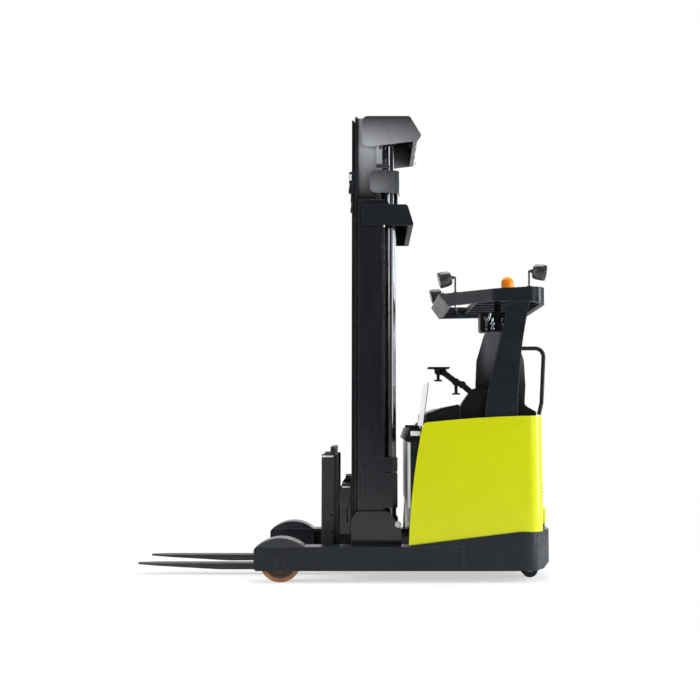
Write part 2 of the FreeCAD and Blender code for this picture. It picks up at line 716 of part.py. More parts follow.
def chassis_base():
    """Base skirt with its deck, open below, and the drum above the drive wheel."""
    side = [(BODY_FRONT, LEG_TOP), (LEG_END, LEG_TOP), (LEG_END, LEG_BOTTOM),
            (TAIL_BEHIND - BASE_CHAMFER_LENGTH, LEG_BOTTOM),
            (TAIL_BEHIND, LEG_BOTTOM + BASE_CHAMFER_HEIGHT), (TAIL_BEHIND, BASE_REAR_TOP),
            (BASE_SLOPE_END, BASE_REAR_TOP), (BODY_FRONT, BODY_FRONT_FOOT)]
    whole = plate_z(base_outline(0.0), 0.0, BASE_REAR_TOP)
    whole = whole.common(plate_y(sharp(side), -HALF_WIDTH, HALF_WIDTH))
    inner_half = HALF_WIDTH - BASE_WALL
    battery_bay = block(0.0, LEG_END, -inner_half, inner_half, 0.0, BASE_REAR_TOP)
    pocket_front = LEG_END + BASE_CROSS_WALL
    under = [(pocket_front, 0.0), (TAIL_BEHIND, 0.0), (TAIL_BEHIND, BASE_REAR_TOP - BASE_DECK),
             (BASE_SLOPE_END, BASE_REAR_TOP - BASE_DECK),
             (pocket_front, base_top(pocket_front) - BASE_DECK)]
    pocket = plate_z(base_outline(BASE_WALL), 0.0, BASE_REAR_TOP)
    pocket = pocket.common(plate_y(sharp(under), -HALF_WIDTH, HALF_WIDTH))
    drum = rod_z(DRIVE_BEHIND, DRIVE_SIDE, DRIVE_BAY_RADIUS + DRIVE_BAY_WALL,
                 base_top(DRIVE_BEHIND) - BASE_DECK - BASE_WALL, DRIVE_BAY_TOP)
    drum_room = rod_z(DRIVE_BEHIND, DRIVE_SIDE, DRIVE_BAY_RADIUS, 0.0,
                      DRIVE_BAY_TOP - TURNTABLE_DEPTH)
    drum_hole = rod_z(DRIVE_BEHIND, DRIVE_SIDE, TURNTABLE_RADIUS + TILT_FIT, 0.0, DRIVE_BAY_TOP)
    castor_boss = rod_z(CASTOR_BEHIND, -CASTOR_SIDE, CASTOR_PLATE_RADIUS,
                        CASTOR_FORK_TOP + CASTOR_PLATE_HEIGHT + SOFT_GAP, BASE_REAR_TOP)
    castor_hole = rod_z(CASTOR_BEHIND, -CASTOR_SIDE, CASTOR_STEM_RADIUS + TILT_FIT, 0.0,
                        BASE_REAR_TOP)
    whole = whole.cut(battery_bay).cut(pocket)
    whole = whole.fuse(drum).cut(drum_room).cut(drum_hole)
    return join(whole, castor_boss).cut(castor_hole)


def drive_unit():
    """Turntable, gearbox beside the drive wheel and the motor on top."""
    seat = DRIVE_BAY_TOP + SOFT_GAP
    flange = rod_z(DRIVE_BEHIND, DRIVE_SIDE, TURNTABLE_FLANGE, seat, seat + TURNTABLE_FLANGE_HEIGHT)
    table_low = DRIVE_BAY_TOP - TURNTABLE_DEPTH - TURNTABLE_DROP
    table = rod_z(DRIVE_BEHIND, DRIVE_SIDE, TURNTABLE_RADIUS, table_low, seat)
    motor = rod_z(DRIVE_BEHIND, DRIVE_SIDE, DRIVE_MOTOR_RADIUS, seat, seat + DRIVE_MOTOR_HEIGHT)
    side_low = DRIVE_SIDE + DRIVE_WHEEL_WIDTH / 2.0 + CLEAR
    front = DRIVE_BEHIND - GEARBOX_HALF_LENGTH
    rear = DRIVE_BEHIND + GEARBOX_HALF_LENGTH
    box_low = DRIVE_WHEEL_RADIUS - GEARBOX_HALF_LENGTH
    box = plate_y([(front, box_low, GEARBOX_CORNER), (rear, box_low, GEARBOX_CORNER),
                   (rear, table_low, 0.0), (front, table_low, 0.0)], side_low, side_low + GEARBOX_WIDTH)
    axle = rod_y(DRIVE_BEHIND, DRIVE_WHEEL_RADIUS, DRIVE_AXLE_RADIUS,
                 DRIVE_SIDE - DRIVE_WHEEL_WIDTH / 2.0, side_low)
    return join(table, flange, motor, box, axle)


def castor_fork():
    """Castor's stem, top plate and two side plates with the axle between them."""
    axle_back = CASTOR_BEHIND + CASTOR_TRAIL
    plate_low = CASTOR_FORK_TOP
    plate = rod_z(CASTOR_BEHIND, -CASTOR_SIDE, CASTOR_PLATE_RADIUS, plate_low,
                  plate_low + CASTOR_PLATE_HEIGHT)
    stem = rod_z(CASTOR_BEHIND, -CASTOR_SIDE, CASTOR_STEM_RADIUS, plate_low, BASE_REAR_TOP)
    pieces = [plate, stem]
    half = CASTOR_WIDTH / 2.0 + CLEAR / 2.0
    foot = CASTOR_RADIUS - CASTOR_STEM_RADIUS
    outline = [(CASTOR_BEHIND - CASTOR_TRAIL, plate_low + CLEAR, 0.0),
               (CASTOR_BEHIND - CASTOR_TRAIL, plate_low - CASTOR_TRAIL, CASTOR_FORK_CORNER),
               (axle_back - CASTOR_STEM_RADIUS, foot, CASTOR_FORK_CORNER),
               (axle_back + CASTOR_STEM_RADIUS, foot, CASTOR_FORK_CORNER),
               (axle_back + CASTOR_STEM_RADIUS, plate_low + CLEAR, 0.0)]
    for side in (-1.0, 1.0):
        near = -CASTOR_SIDE + side * half
        pieces.append(plate_y(outline, near, near + side * CASTOR_FORK_PLATE))
    pieces.append(rod_y(axle_back, CASTOR_RADIUS, CASTOR_AXLE_RADIUS, -CASTOR_SIDE - half,
                        -CASTOR_SIDE + half))
    return join(*pieces)


def body_shell():
    """Yellow wall round the body, following its side outline."""
    def outline(inset):
        half = BODY_HALF - inset
        rear = BODY_REAR - inset
        radius = BODY_CORNER_RADIUS - inset
        return [(LID_FRONT, -half, 0.0), (rear, -half, radius), (rear, half, radius),
                (LID_FRONT, half, 0.0)]

    ring = plate_z(outline(0.0), LEG_TOP, BODY_TOP_REAR + CLEAR)
    ring = ring.cut(plate_z(outline(BODY_WALL), LEG_TOP, BODY_TOP_REAR + CLEAR))
    ring = ring.cut(block(0.0, BODY_FRONT - CLEAR, -HALF_WIDTH, HALF_WIDTH, 0.0, FAR_OUT))

    def spot(back, z):
        return FreeCAD.Vector(at_axle(back), -HALF_WIDTH, z)

    low = spot(BODY_FRONT, BODY_FRONT_FOOT)
    high = spot(*BODY_FRONT_HIGH)
    shoulder = spot(*BODY_SHOULDER)
    top_rear = spot(BODY_REAR, BODY_TOP_REAR)
    slope_end = spot(BASE_SLOPE_END, BASE_REAR_TOP)
    bottom_rear = spot(BODY_REAR, BASE_REAR_TOP)
    turn = spot(BODY_FRONT_HIGH[0] + (BODY_SHOULDER[0] - BODY_FRONT_HIGH[0]) * BODY_SHOULDER_TURN,
                BODY_SHOULDER[1] - (BODY_SHOULDER[1] - BODY_FRONT_HIGH[1]) * BODY_SHOULDER_TURN)
    edges = [Part.Arc(low, spot(*BODY_FRONT_MID), high).toShape(),
             Part.Arc(high, turn, shoulder).toShape(),
             Part.Arc(shoulder, spot(*BODY_TOP_MID), top_rear).toShape(),
             Part.makeLine(top_rear, bottom_rear), Part.makeLine(bottom_rear, slope_end),
             Part.makeLine(slope_end, low)]
    side = Part.Face(Part.Wire(edges)).extrude(FreeCAD.Vector(0, 2.0 * HALF_WIDTH, 0))
    return ring.common(side)


def side_panels():
    """Near and far panels and the upper rear panel, split where the real ones meet."""
    shell = body_shell()
    near = shell.common(block(0.0, BODY_REAR, -HALF_WIDTH, -SIDE_PANEL_SPLIT, 0.0, FAR_OUT))
    rear = shell.common(block(ENTRY_FRONT, BODY_REAR, -SIDE_PANEL_SPLIT, SIDE_PANEL_SPLIT,
                              0.0, FAR_OUT))
    far = far_copy(near)
    entry = plate_y([(ENTRY_FRONT, FLOOR_TOP, ENTRY_SILL_RADIUS),
                     (ENTRY_REAR, FLOOR_TOP, ENTRY_SILL_RADIUS),
                     (ENTRY_REAR, FAR_OUT, 0.0), (ENTRY_FRONT, FAR_OUT, 0.0)], 0.0, HALF_WIDTH)
    return near, far.cut(entry), rear


def rear_cover():
    """Bowed service cover on the rear panel, with vent slots near its top."""
    front = BODY_REAR
    depth = TAIL_BEHIND - front
    plan = [(front, -REAR_COVER_HALF, 0.0), (front + depth, -REAR_COVER_HALF, REAR_COVER_RADIUS),
            (front + depth, REAR_COVER_HALF, REAR_COVER_RADIUS), (front, REAR_COVER_HALF, 0.0)]
    cover = plate_z(plan, BASE_REAR_TOP, REAR_COVER_TOP)
    pitch = (REAR_COVER_TOP - REAR_VENT_BOTTOM) / REAR_VENT_SLOTS
    for i in range(REAR_VENT_SLOTS):
        low = REAR_VENT_BOTTOM + pitch * i
        cover = cover.cut(block(TAIL_BEHIND - REAR_VENT_DEPTH, TAIL_BEHIND + CLEAR,
                                -REAR_COVER_HALF + REAR_COVER_MARGIN,
                                REAR_COVER_HALF - REAR_COVER_MARGIN, low, low + pitch / 2.0))
    return cover


def battery():
    """Plain battery block on the legs."""
    return block(BATTERY_FRONT, BATTERY_REAR, -BATTERY_HALF, BATTERY_HALF, LEG_TOP, BATTERY_TOP)


def battery_front():
    """Pale plate across the battery's front."""
    return block(BATTERY_FRONT - FRONT_PLATE, BATTERY_FRONT, -BATTERY_HALF, BATTERY_HALF,
                 FRONT_PLATE_BOTTOM, BATTERY_TOP)


def battery_lid():
    """Wedge-fronted lid on the battery, with the clamp blocks of the clear screen."""
    outline = [(BATTERY_FRONT, BATTERY_TOP, 0.0), (BATTERY_REAR, BATTERY_TOP, 0.0),
               (BATTERY_REAR, LID_LEDGE, 0.0), (LID_TIP, LID_LEDGE, 0.0), (LID_TIP, LID_TOP, LID_CORNER),
               (LID_FRONT + LID_SLOPE, LID_TOP, LID_CORNER), (LID_FRONT, LID_LEDGE, LID_CORNER)]
    pieces = [plate_y(outline, -BATTERY_HALF, BATTERY_HALF)]
    for side in CLAMP_PLACES:
        pieces.append(block(LID_TIP - CLAMP_LENGTH, LID_TIP - LID_CORNER, side - CLAMP_WIDTH / 2.0,
                            side + CLAMP_WIDTH / 2.0, LID_TOP, LID_TOP + CLAMP_HEIGHT))
    return join(*pieces)


def clear_screen():
    """Clear sheet that leans back from the lid, its near shoulder cut off."""
    rise = LID_LEDGE + SOFT_GAP
    corners = [(SCREEN_NEAR, rise, 0.0), (SCREEN_FAR, rise, 0.0), (SCREEN_FAR, SCREEN_TOP, SCREEN_CORNER),
               (SCREEN_NEAR + SCREEN_SHOULDER, SCREEN_TOP, SCREEN_CORNER),
               (SCREEN_NEAR, SCREEN_NEAR_TOP, SCREEN_CORNER)]
    sheet = plate_x(corners, SCREEN_FOOT, SCREEN_FOOT + SCREEN_SHEET)
    hinge = FreeCAD.Vector(at_axle(SCREEN_FOOT + SCREEN_SHEET), 0, rise)
    sheet.rotate(hinge, FreeCAD.Vector(0, 1, 0), SCREEN_LEAN)
    return sheet


def console():
    """Black moulded console over the battery, with the steering wheel's pod behind it."""
    outline = [(CONSOLE_FRONT, LID_LEDGE, 0.0), (CONSOLE_REAR, LID_LEDGE, 0.0),
               (CONSOLE_REAR, CONSOLE_REAR_TOP, CONSOLE_REAR_CORNER), CONSOLE_CROWN,
               (CONSOLE_FRONT, CONSOLE_FRONT_TOP, CONSOLE_FRONT_CORNER)]
    top = plate_y(outline, -CONSOLE_HALF, CONSOLE_HALF)
    near, far = POD_SIDES
    low, high = POD_HEIGHTS
    pod = plate_z([(CONSOLE_REAR, near, 0.0), (POD_REAR, near, POD_CORNER), (POD_REAR, far, POD_CORNER),
                   (CONSOLE_REAR, far, 0.0)], low, high)
    bulkhead = block(CONSOLE_REAR - BULKHEAD, CONSOLE_REAR, -CONSOLE_HALF, CONSOLE_HALF, FLOOR_TOP,
                     LID_LEDGE)
    return join(top, pod, bulkhead)


def steering_wheel():
    """Small steering wheel with a spinner knob, on a short column."""
    back, side = STEERING_PLACE
    foot = POD_HEIGHTS[1] + SOFT_GAP
    level = foot + STEERING_LIFT
    centre = FreeCAD.Vector(at_axle(back), side, level)
    up = FreeCAD.Vector(0, 0, 1)
    pieces = [Part.makeTorus(STEERING_RADIUS, STEERING_RIM, centre, up),
              rod_z(back, side, STEERING_HUB, foot, level + STEERING_RIM / 2.0)]
    for i in range(STEERING_SPOKES):
        turn = math.radians(360.0 / STEERING_SPOKES * i)
        spoke = Part.makeBox(STEERING_RADIUS, STEERING_SPOKE_WIDTH, STEERING_RIM / 2.0,
                             centre - FreeCAD.Vector(0, STEERING_SPOKE_WIDTH / 2.0, STEERING_RIM / 4.0))
        spoke.rotate(centre, up, math.degrees(turn))
        pieces.append(spoke)
    knob = rod_z(back - STEERING_RADIUS, side, STEERING_KNOB, level, level + STEERING_KNOB_HEIGHT)
    pieces.append(knob.makeFillet(STEERING_KNOB / 2.0, [e for e in knob.Edges if e.Closed][:1]))
    return join(*pieces)


def controls():
    """Lever box beside the seat with its small levers, and the pedals on the floor."""
    front, near, far, low, high = LEVER_BOX
    rear = BODY_REAR - BODY_WALL
    pieces = [plate_y([(front, low, LEVER_BOX_CORNER), (rear, low, 0.0), (rear, high, 0.0),
                       (front, high, LEVER_BOX_CORNER)], near, far)]
    pitch = (far - near) / LEVERS
    back = (front + rear) / 2.0
    for i in range(LEVERS):
        side = near + pitch * (i + 0.5)
        pieces.append(rod_z(back, side, LEVER_RADIUS, high - LEVER_RADIUS, high + LEVER_HEIGHT))
        top = FreeCAD.Vector(at_axle(back), side, high + LEVER_HEIGHT)
        pieces.append(Part.makeSphere(LEVER_KNOB, top))
    levers = join(*pieces)
    near, far = PEDAL_SIDES
    pedals = []
    for front in PEDAL_FRONTS:
        wedge = plate_x(sharp([(near, FLOOR_TOP), (far, FLOOR_TOP), (far, FLOOR_TOP + PEDAL_RISE),
                               (near, FLOOR_TOP + PEDAL_PLATE)]), front, front + PEDAL_LENGTH)
        pedals.append(wedge)
    return group(levers, *pedals)


def floor_plate():
    """Operator's floor behind the battery."""
    rear = BODY_REAR - BODY_WALL
    outer = BODY_HALF - BODY_WALL
    corners = [(CONSOLE_REAR, -HOOD_INNER, 0.0), (rear, -HOOD_INNER, 0.0),
               (rear, outer, BODY_CORNER_RADIUS - BODY_WALL), (CONSOLE_REAR, outer, 0.0)]
    return plate_z(corners, FLOOR_TOP - FLOOR_PLATE, FLOOR_TOP)


def seat_hood():
    """Hood under the seat, standing on the base."""
    outline = [(ENTRY_FRONT, BASE_REAR_TOP, 0.0), (ENTRY_REAR, BASE_REAR_TOP, 0.0),
               (ENTRY_REAR, HOOD_TOP, HOOD_CORNER), (ENTRY_FRONT, HOOD_TOP, HOOD_CORNER)]
    return plate_y(outline, -HOOD_NEAR, -HOOD_INNER)


def seat_cushion():
    """Plain solid of the seat cushion."""
    low = HOOD_TOP + SOFT_GAP
    front = CUSHION_DEPTH - CUSHION_BACK
    left = SEAT_MIDDLE - SEAT_HALF
    right = SEAT_MIDDLE + SEAT_HALF
    outline = [(left, -CUSHION_BACK, CUSHION_REAR_CORNER), (right, -CUSHION_BACK, CUSHION_REAR_CORNER),
               (right, front, CUSHION_FRONT_CORNER), (left, front, CUSHION_FRONT_CORNER)]
    return plate_z(outline, low, low + CUSHION_THICKNESS)


def seat_surround():
    """Moulded hood behind the seat, rising above the near panel and falling to the rear."""
    outline = [(ahead(distance), z, r) for distance, z, r in SURROUND_OUTLINE]
    return plate_y(outline, -SURROUND_OUTER, -SURROUND_OUTER + SURROUND_DEPTH)


def seat_outline(margin):
    """Outline of the seat back, drawn in by a margin."""
    left = [(SEAT_MIDDLE - half + margin, z, r) for half, z, r in SEAT_BACK_OUTLINE]
    right = [(SEAT_MIDDLE + half - margin, z, r) for half, z, r in reversed(SEAT_BACK_OUTLINE)]
    return left + right


def seat_shell():
    """Moulded shell behind the seat back, standing in front of the surround."""
    rear = -SURROUND_OUTER + SURROUND_DEPTH + SOFT_GAP
    return plate_y(seat_outline(SEAT_SHELL_MARGIN), rear, rear + SEAT_SHELL)


def seat_back():
    """Plain solid of the padded seat back, on its shell."""
    rear = -SURROUND_OUTER + SURROUND_DEPTH + SOFT_GAP + SEAT_SHELL + SOFT_GAP
    return plate_y(seat_outline(0.0), rear, rear + SEAT_BACK_THICKNESS)


def guard_post():
    """Near post, leaning back from the body to the guard."""
    def spot(back, z):
        return FreeCAD.Vector(at_axle(back), -POST_OUTER, z)

    front_low = spot(*POST_FRONT_LOW)
    front_high = spot(*POST_FRONT_HIGH)
    rear_high = spot(*POST_REAR_HIGH)
    rear_low = spot(POST_REAR_LOW, POST_FRONT_LOW[1])
    edges = [Part.makeLine(front_low, spot(*POST_FRONT_MID)),
             Part.makeLine(spot(*POST_FRONT_MID), front_high),
             Part.makeLine(front_high, rear_high),
             Part.Arc(rear_high, spot(*POST_REAR_MID), rear_low).toShape(),
             Part.makeLine(rear_low, front_low)]
    return Part.Face(Part.Wire(edges)).extrude(FreeCAD.Vector(0, POST_WIDTH, 0))


def guard_under(back):
    """Height of the guard's lower edge behind the near post."""
    run = (back - POST_REAR_HIGH[0]) / (GUARD_REAR - POST_REAR_HIGH[0])
    return POST_REAR_HIGH[1] + run * (GUARD_REAR_BOTTOM - POST_REAR_HIGH[1])


def guard_upper(back):
    """Height of the guard rail's top edge ahead of the near post's rear."""
    run = min(1.0, (back - GUARD_FRONT_TOP[0]) / (POST_REAR_HIGH[0] - GUARD_FRONT_TOP[0]))
    return GUARD_FRONT_TOP[1] + run * (GUARD_TOP - GUARD_FRONT_TOP[1])


def far_post():
    """Far post at the rear corner, clear of the way in."""
    outline = [(FAR_POST_FRONT_LOW, BODY_TOP_REAR),
               (POST_REAR_HIGH[0], POST_REAR_HIGH[1]),
               (FAR_POST_REAR_TOP, guard_under(FAR_POST_REAR_TOP)), (FAR_POST_REAR_LOW, BODY_TOP_REAR)]
    return plate_y(sharp(outline), FAR_POST_SIDE - POST_WIDTH, FAR_POST_SIDE)


def guard_outline(inset):
    """Plan of the overhead guard, drawn in by the inset."""
    front = GUARD_FRONT_TOP[0] + inset
    rear = GUARD_REAR - inset
    half = POST_OUTER - inset
    nose = GUARD_FRONT_HALF - inset
    radius = GUARD_CORNER_RADIUS - inset
    return [(front, -nose, 0.0), (GUARD_WIDE_START, -half, GUARD_SIDE_BEND), (rear, -half, radius),
            (rear, half, radius), (GUARD_WIDE_START, half, GUARD_SIDE_BEND), (front, nose, 0.0)]


def guard_rim():
    """Rim of the overhead guard: two side rails, the rear band and the slanted front beam."""
    low = GUARD_FRONT_BOTTOM[1] - CLEAR
    ring = plate_z(guard_outline(0.0), low, GUARD_TOP)
    ring = ring.cut(plate_z(guard_outline(GUARD_WALL), low, GUARD_TOP))
    side = [GUARD_FRONT_TOP, GUARD_FRONT_BOTTOM, GUARD_UNDER_MID, POST_FRONT_HIGH,
            POST_REAR_HIGH, (GUARD_REAR, GUARD_REAR_BOTTOM), (GUARD_REAR, GUARD_TOP),
            (POST_REAR_HIGH[0], GUARD_TOP)]
    ring = ring.common(plate_y(sharp(side), -HALF_WIDTH, HALF_WIDTH))
    bottom_rise, top_rise = GUARD_BEAM_RISE
    beam = [GUARD_FRONT_TOP, GUARD_FRONT_BOTTOM,
            (GUARD_FRONT_BOTTOM[0] + GUARD_BEAM, GUARD_FRONT_BOTTOM[1] + bottom_rise),
            (GUARD_FRONT_TOP[0] + GUARD_BEAM, GUARD_FRONT_TOP[1] + top_rise)]
    return join(ring, plate_y(sharp(beam), -GUARD_FRONT_HALF, GUARD_FRONT_HALF))


def guard_bar_place(i):
    """Lengthways place and underside height of one of the guard's bars."""
    start = GUARD_FRONT_BOTTOM[0] + GUARD_BEAM
    pitch = (GUARD_REAR - GUARD_WALL - GUARD_BAR_SKEW - start) / (GUARD_BARS + 1)
    back = start + pitch * (i + 1)
    run = min(1.0, (back - GUARD_FRONT_TOP[0]) / (GUARD_WIDE_START - GUARD_FRONT_TOP[0]))
    return back, GUARD_TOP - GUARD_BAR_DROP - GUARD_BAR_HEIGHT - (1.0 - run) * GUARD_BAR_DIP


def guard_bars():
    """Skewed bars across the guard, ending inside its rails."""
    bars = []
    room = plate_z(guard_outline(GUARD_WALL), GUARD_FRONT_BOTTOM[1], GUARD_TOP)
    for i in range(GUARD_BARS):
        back, low = guard_bar_place(i)
        half = POST_OUTER
        bar = plate_z(sharp([(back, -half), (back + GUARD_BAR_WIDTH, -half),
                             (back + GUARD_BAR_WIDTH + GUARD_BAR_SKEW, half),
                             (back + GUARD_BAR_SKEW, half)]), low, low + GUARD_BAR_HEIGHT)
        bars.append(bar.common(room).Solids[0])
    return group(*bars)


def roof_unit():
    """Small unit that hangs under the guard from one of its bars."""
    front, rear, near, far, low, high = ROOF_UNIT
    housing = plate_y([(ahead(front), low, ROOF_UNIT_CORNER), (ahead(rear), low, ROOF_UNIT_CORNER),
                       (ahead(rear), high, ROOF_UNIT_CORNER), (ahead(front), high, ROOF_UNIT_CORNER)],
                      near, far)
    bar, length, near, far = ROOF_HANGER
    back, top = guard_bar_place(bar)
    start = back + (near + POST_OUTER) / (2.0 * POST_OUTER) * GUARD_BAR_SKEW
    hanger = block(start, start + length, near, far, high - CLEAR, top - SOFT_GAP)
    return join(housing, hanger)


def grab_handle():
    """Bent tube from the near post's inner face down to the body's rear corner."""
    def spot(back, side, z):
        return FreeCAD.Vector(at_axle(back), -side, z)

    places = [(spot(HANDLE_START, POST_OUTER - POST_WIDTH, HANDLE_TOP), 0.0),
              (spot(HANDLE_START, HANDLE_SIDE, HANDLE_TOP), HANDLE_ROOT_BEND),
              (spot(HANDLE_BACK, HANDLE_SIDE, HANDLE_TOP), HANDLE_BEND),
              (spot(HANDLE_BACK - HANDLE_TUCK, HANDLE_SIDE, HANDLE_LOW), HANDLE_BEND * 2.0),
              (spot(HANDLE_FOOT, HANDLE_SIDE, BODY_TOP_REAR + HANDLE_FOOT_LIFT), 0.0)]
    return tube_path(places, HANDLE_RADIUS)


def turned_solid(points):
    """Solid of revolution about an axis along X through the origin, from (along, radius) points."""
    wire = rounded_wire(points, lambda a, b: FreeCAD.Vector(a, b, 0))
    return Part.Face(wire).revolve(FreeCAD.Vector(0, 0, 0), FreeCAD.Vector(1, 0, 0), 360)


def lamp(distance, z, tilt, face):
    """Work light with a domed back, tilted down, on a bent stem; face -1 shines forwards."""
    back = ahead(distance) + face * LAMP_DEPTH / 2.0
    shell = turned_solid([(0.0, 0.0, 0.0), (0.0, LAMP_RADIUS, LAMP_CORNER),
                          (-LAMP_RIM, LAMP_RADIUS, LAMP_BULGE),
                          (-LAMP_DEPTH, LAMP_BACK_RADIUS, LAMP_CORNER), (-LAMP_DEPTH, 0.0, 0.0)])
    upright = FreeCAD.Vector(0, 0, 1)
    across = FreeCAD.Vector(0, 1, 0)
    start = FreeCAD.Vector(0, 0, 0)
    foot_back = back - face * (LAMP_DEPTH + LAMP_STEM_REACH)
    side = guard_side(foot_back)
    shell.rotate(start, across, tilt)
    if face < 0.0:
        shell.rotate(start, upright, 180.0)
    shell.translate(FreeCAD.Vector(at_axle(back), -side, z))
    level = z + math.sin(math.radians(tilt)) * LAMP_DEPTH / 2.0

    def spot(place, height):
        return FreeCAD.Vector(at_axle(place), -side, height)

    places = [(spot(foot_back, guard_upper(foot_back) + SOFT_GAP), 0.0),
              (spot(foot_back, level + LAMP_STEM_REACH / 2.0), LAMP_STEM_BEND),
              (spot(back - face * LAMP_DEPTH / 2.0, level), 0.0)]
    return join(shell, tube_path(places, LAMP_STEM_RADIUS))


def guard_side(back):
    """Distance from the middle of the guard's side rail at this place to the centre."""
    run = min(1.0, (back - GUARD_FRONT_TOP[0]) / (GUARD_WIDE_START - GUARD_FRONT_TOP[0]))
    return GUARD_FRONT_HALF + run * (POST_OUTER - GUARD_FRONT_HALF) - GUARD_WALL / 2.0


def work_lamps():
    """Two lights at the guard's front corners and two at its rear corners."""
    pieces = []
    for distance, z, tilt, face in LAMPS:
        pieces.extend(near_and_far(lamp(distance, z, tilt, face)))
    return group(*pieces)


def beacon():
    """Flashing beacon: a round base with a domed lens."""
    back, side = BEACON_PLACE
    low = GUARD_TOP - GUARD_BAR_DROP
    seam = low + BEACON_BASE
    base = rod_z(back, side, BEACON_RADIUS + BEACON_RING, low, seam)
    lens = rod_z(back, side, BEACON_RADIUS, seam, seam + BEACON_WAIST)
    dome = Part.makeSphere(BEACON_RADIUS, FreeCAD.Vector(at_axle(back), side, seam + BEACON_WAIST))
    upper = dome.common(rod_z(back, side, BEACON_RADIUS, seam + BEACON_WAIST,
                              seam + BEACON_WAIST + BEACON_RADIUS))
    return base, join(lens, upper)


def terminal_arm():
    """Folding arm with two knuckles, its clamp screws and the plate for a terminal."""
    def spot(distance, z, side=ARM_SIDE):
        return FreeCAD.Vector(at_axle(ahead(distance)), side, z)

    base_back = ahead(ARM_POINTS[0][0])
    pieces = [rod_z(base_back, ARM_SIDE, ARM_BASE, SURROUND_TOP, SURROUND_TOP + ARM_BASE_HEIGHT),
              rod_z(base_back, ARM_SIDE, ARM_RADIUS, SURROUND_TOP, ARM_POINTS[0][1])]
    for i in range(len(ARM_POINTS) - 1):
        pieces.append(strut(spot(*ARM_POINTS[i]), spot(*ARM_POINTS[i + 1]), ARM_RADIUS))
    for distance, z in ARM_POINTS:
        pieces.append(rod_y(ahead(distance), z, ARM_KNUCKLE, ARM_SIDE - ARM_KNUCKLE_HALF,
                            ARM_SIDE + ARM_KNUCKLE_HALF))
    for distance, top, bottom in ARM_SCREWS:
        pieces.append(rod_z(ahead(distance), ARM_SIDE, ARM_SCREW_RADIUS, bottom, top))
        pieces.append(rod_z(ahead(distance), ARM_SIDE, ARM_FOOT_RADIUS, bottom,
                            bottom + ARM_FOOT_HEIGHT))
    front, rear, half = ARM_PLATE
    low, high = ARM_PLATE_HEIGHTS
    corner = ARM_PLATE_CORNER
    pieces.append(plate_z([(ahead(front), ARM_SIDE - half, corner), (ahead(rear), ARM_SIDE - half, corner),
                           (ahead(rear), ARM_SIDE + half, corner), (ahead(front), ARM_SIDE + half, corner)],
                          low, high))
    pieces.append(rod_z(ahead(ARM_POINTS[-1][0]), ARM_SIDE, ARM_FOOT_RADIUS, ARM_POINTS[-1][1], low))
    return join(*pieces)


def reach_frame():
    """Reach carriage: side plates in the legs, cross beams and the rollers' stub axles."""
    inner = REACH_PLATE_OUTER - REACH_PLATE
    front_slope, rear_slope = REACH_SHOULDER
    outline = [(REACH_FRONT, REACH_BOTTOM, REACH_CORNER / 2.0),
               (REACH_ARM_END, REACH_BOTTOM, REACH_ARM_CORNER),
               (REACH_ARM_END, LEG_TOP - CHANNEL_FLANGE, REACH_ARM_CORNER),
               (REACH_REAR, LEG_TOP - CHANNEL_FLANGE, 0.0), (REACH_REAR, REACH_REAR_HEIGHT, REACH_CORNER),
               (REACH_REAR - rear_slope, REACH_HEIGHT, REACH_CORNER * 2.0),
               (REACH_FRONT + front_slope, REACH_HEIGHT, REACH_CORNER),
               (REACH_FRONT, REACH_HEIGHT - REACH_NOSE, REACH_CORNER)]
    plate = plate_y(outline, -REACH_PLATE_OUTER, -inner)
    pieces = near_and_far(plate)
    pieces.append(block(REACH_REAR - REACH_BEAM, REACH_REAR, -REACH_PLATE_OUTER, REACH_PLATE_OUTER,
                        REACH_BOTTOM, REACH_BEAM_TOP))
    pieces.append(block(REACH_FRONT, REACH_REAR, -REACH_PLATE_OUTER, REACH_PLATE_OUTER,
                        REACH_BOTTOM, REACH_BOTTOM + REACH_PLATE))
    return join(*pieces)


def reach_rollers():
    """Rollers that run in the legs, fixed to the carriage here."""
    radius = (LEG_TOP - LEG_BOTTOM) / 2.0 - CHANNEL_FLANGE - REACH_ROLLER_GAP
    z = (LEG_TOP + LEG_BOTTOM) / 2.0
    leg_inner = HALF_WIDTH - LEG_WIDTH
    rollers = []
    for back in (REACH_ROLLER_FRONT, REACH_ROLLER_REAR):
        roller = rod_y(back, z, radius, -leg_inner - CLEAR - REACH_ROLLER_WIDTH, -leg_inner - CLEAR)
        stub = rod_y(back, z, radius / 2.0, -leg_inner - CLEAR, -REACH_PLATE_OUTER)
        rollers.extend(near_and_far(join(roller, stub)))
    return group(*rollers)


def rail(front, web_outer, outward, inward, z_low, z_high):
    """Near mast rail: an upright section with a web and flanges on one or both sides."""
    rear = front + RAIL_DEPTH
    web_inner = web_outer - RAIL_WEB
    pieces = [block(front, rear, -web_outer, -web_inner, z_low, z_high)]
    for back in (front, rear - RAIL_FLANGE):
        pieces.append(block(back, back + RAIL_FLANGE, -web_outer - outward, -web_inner + inward,
                            z_low, z_high))
    return join(*pieces)


def cross_member(rear_face, half, z_low):
    """Plate that ties a stage's two rails together behind them."""
    return block(rear_face, rear_face + CROSS_PLATE, -half, half, z_low, z_low + CROSS_HEIGHT)


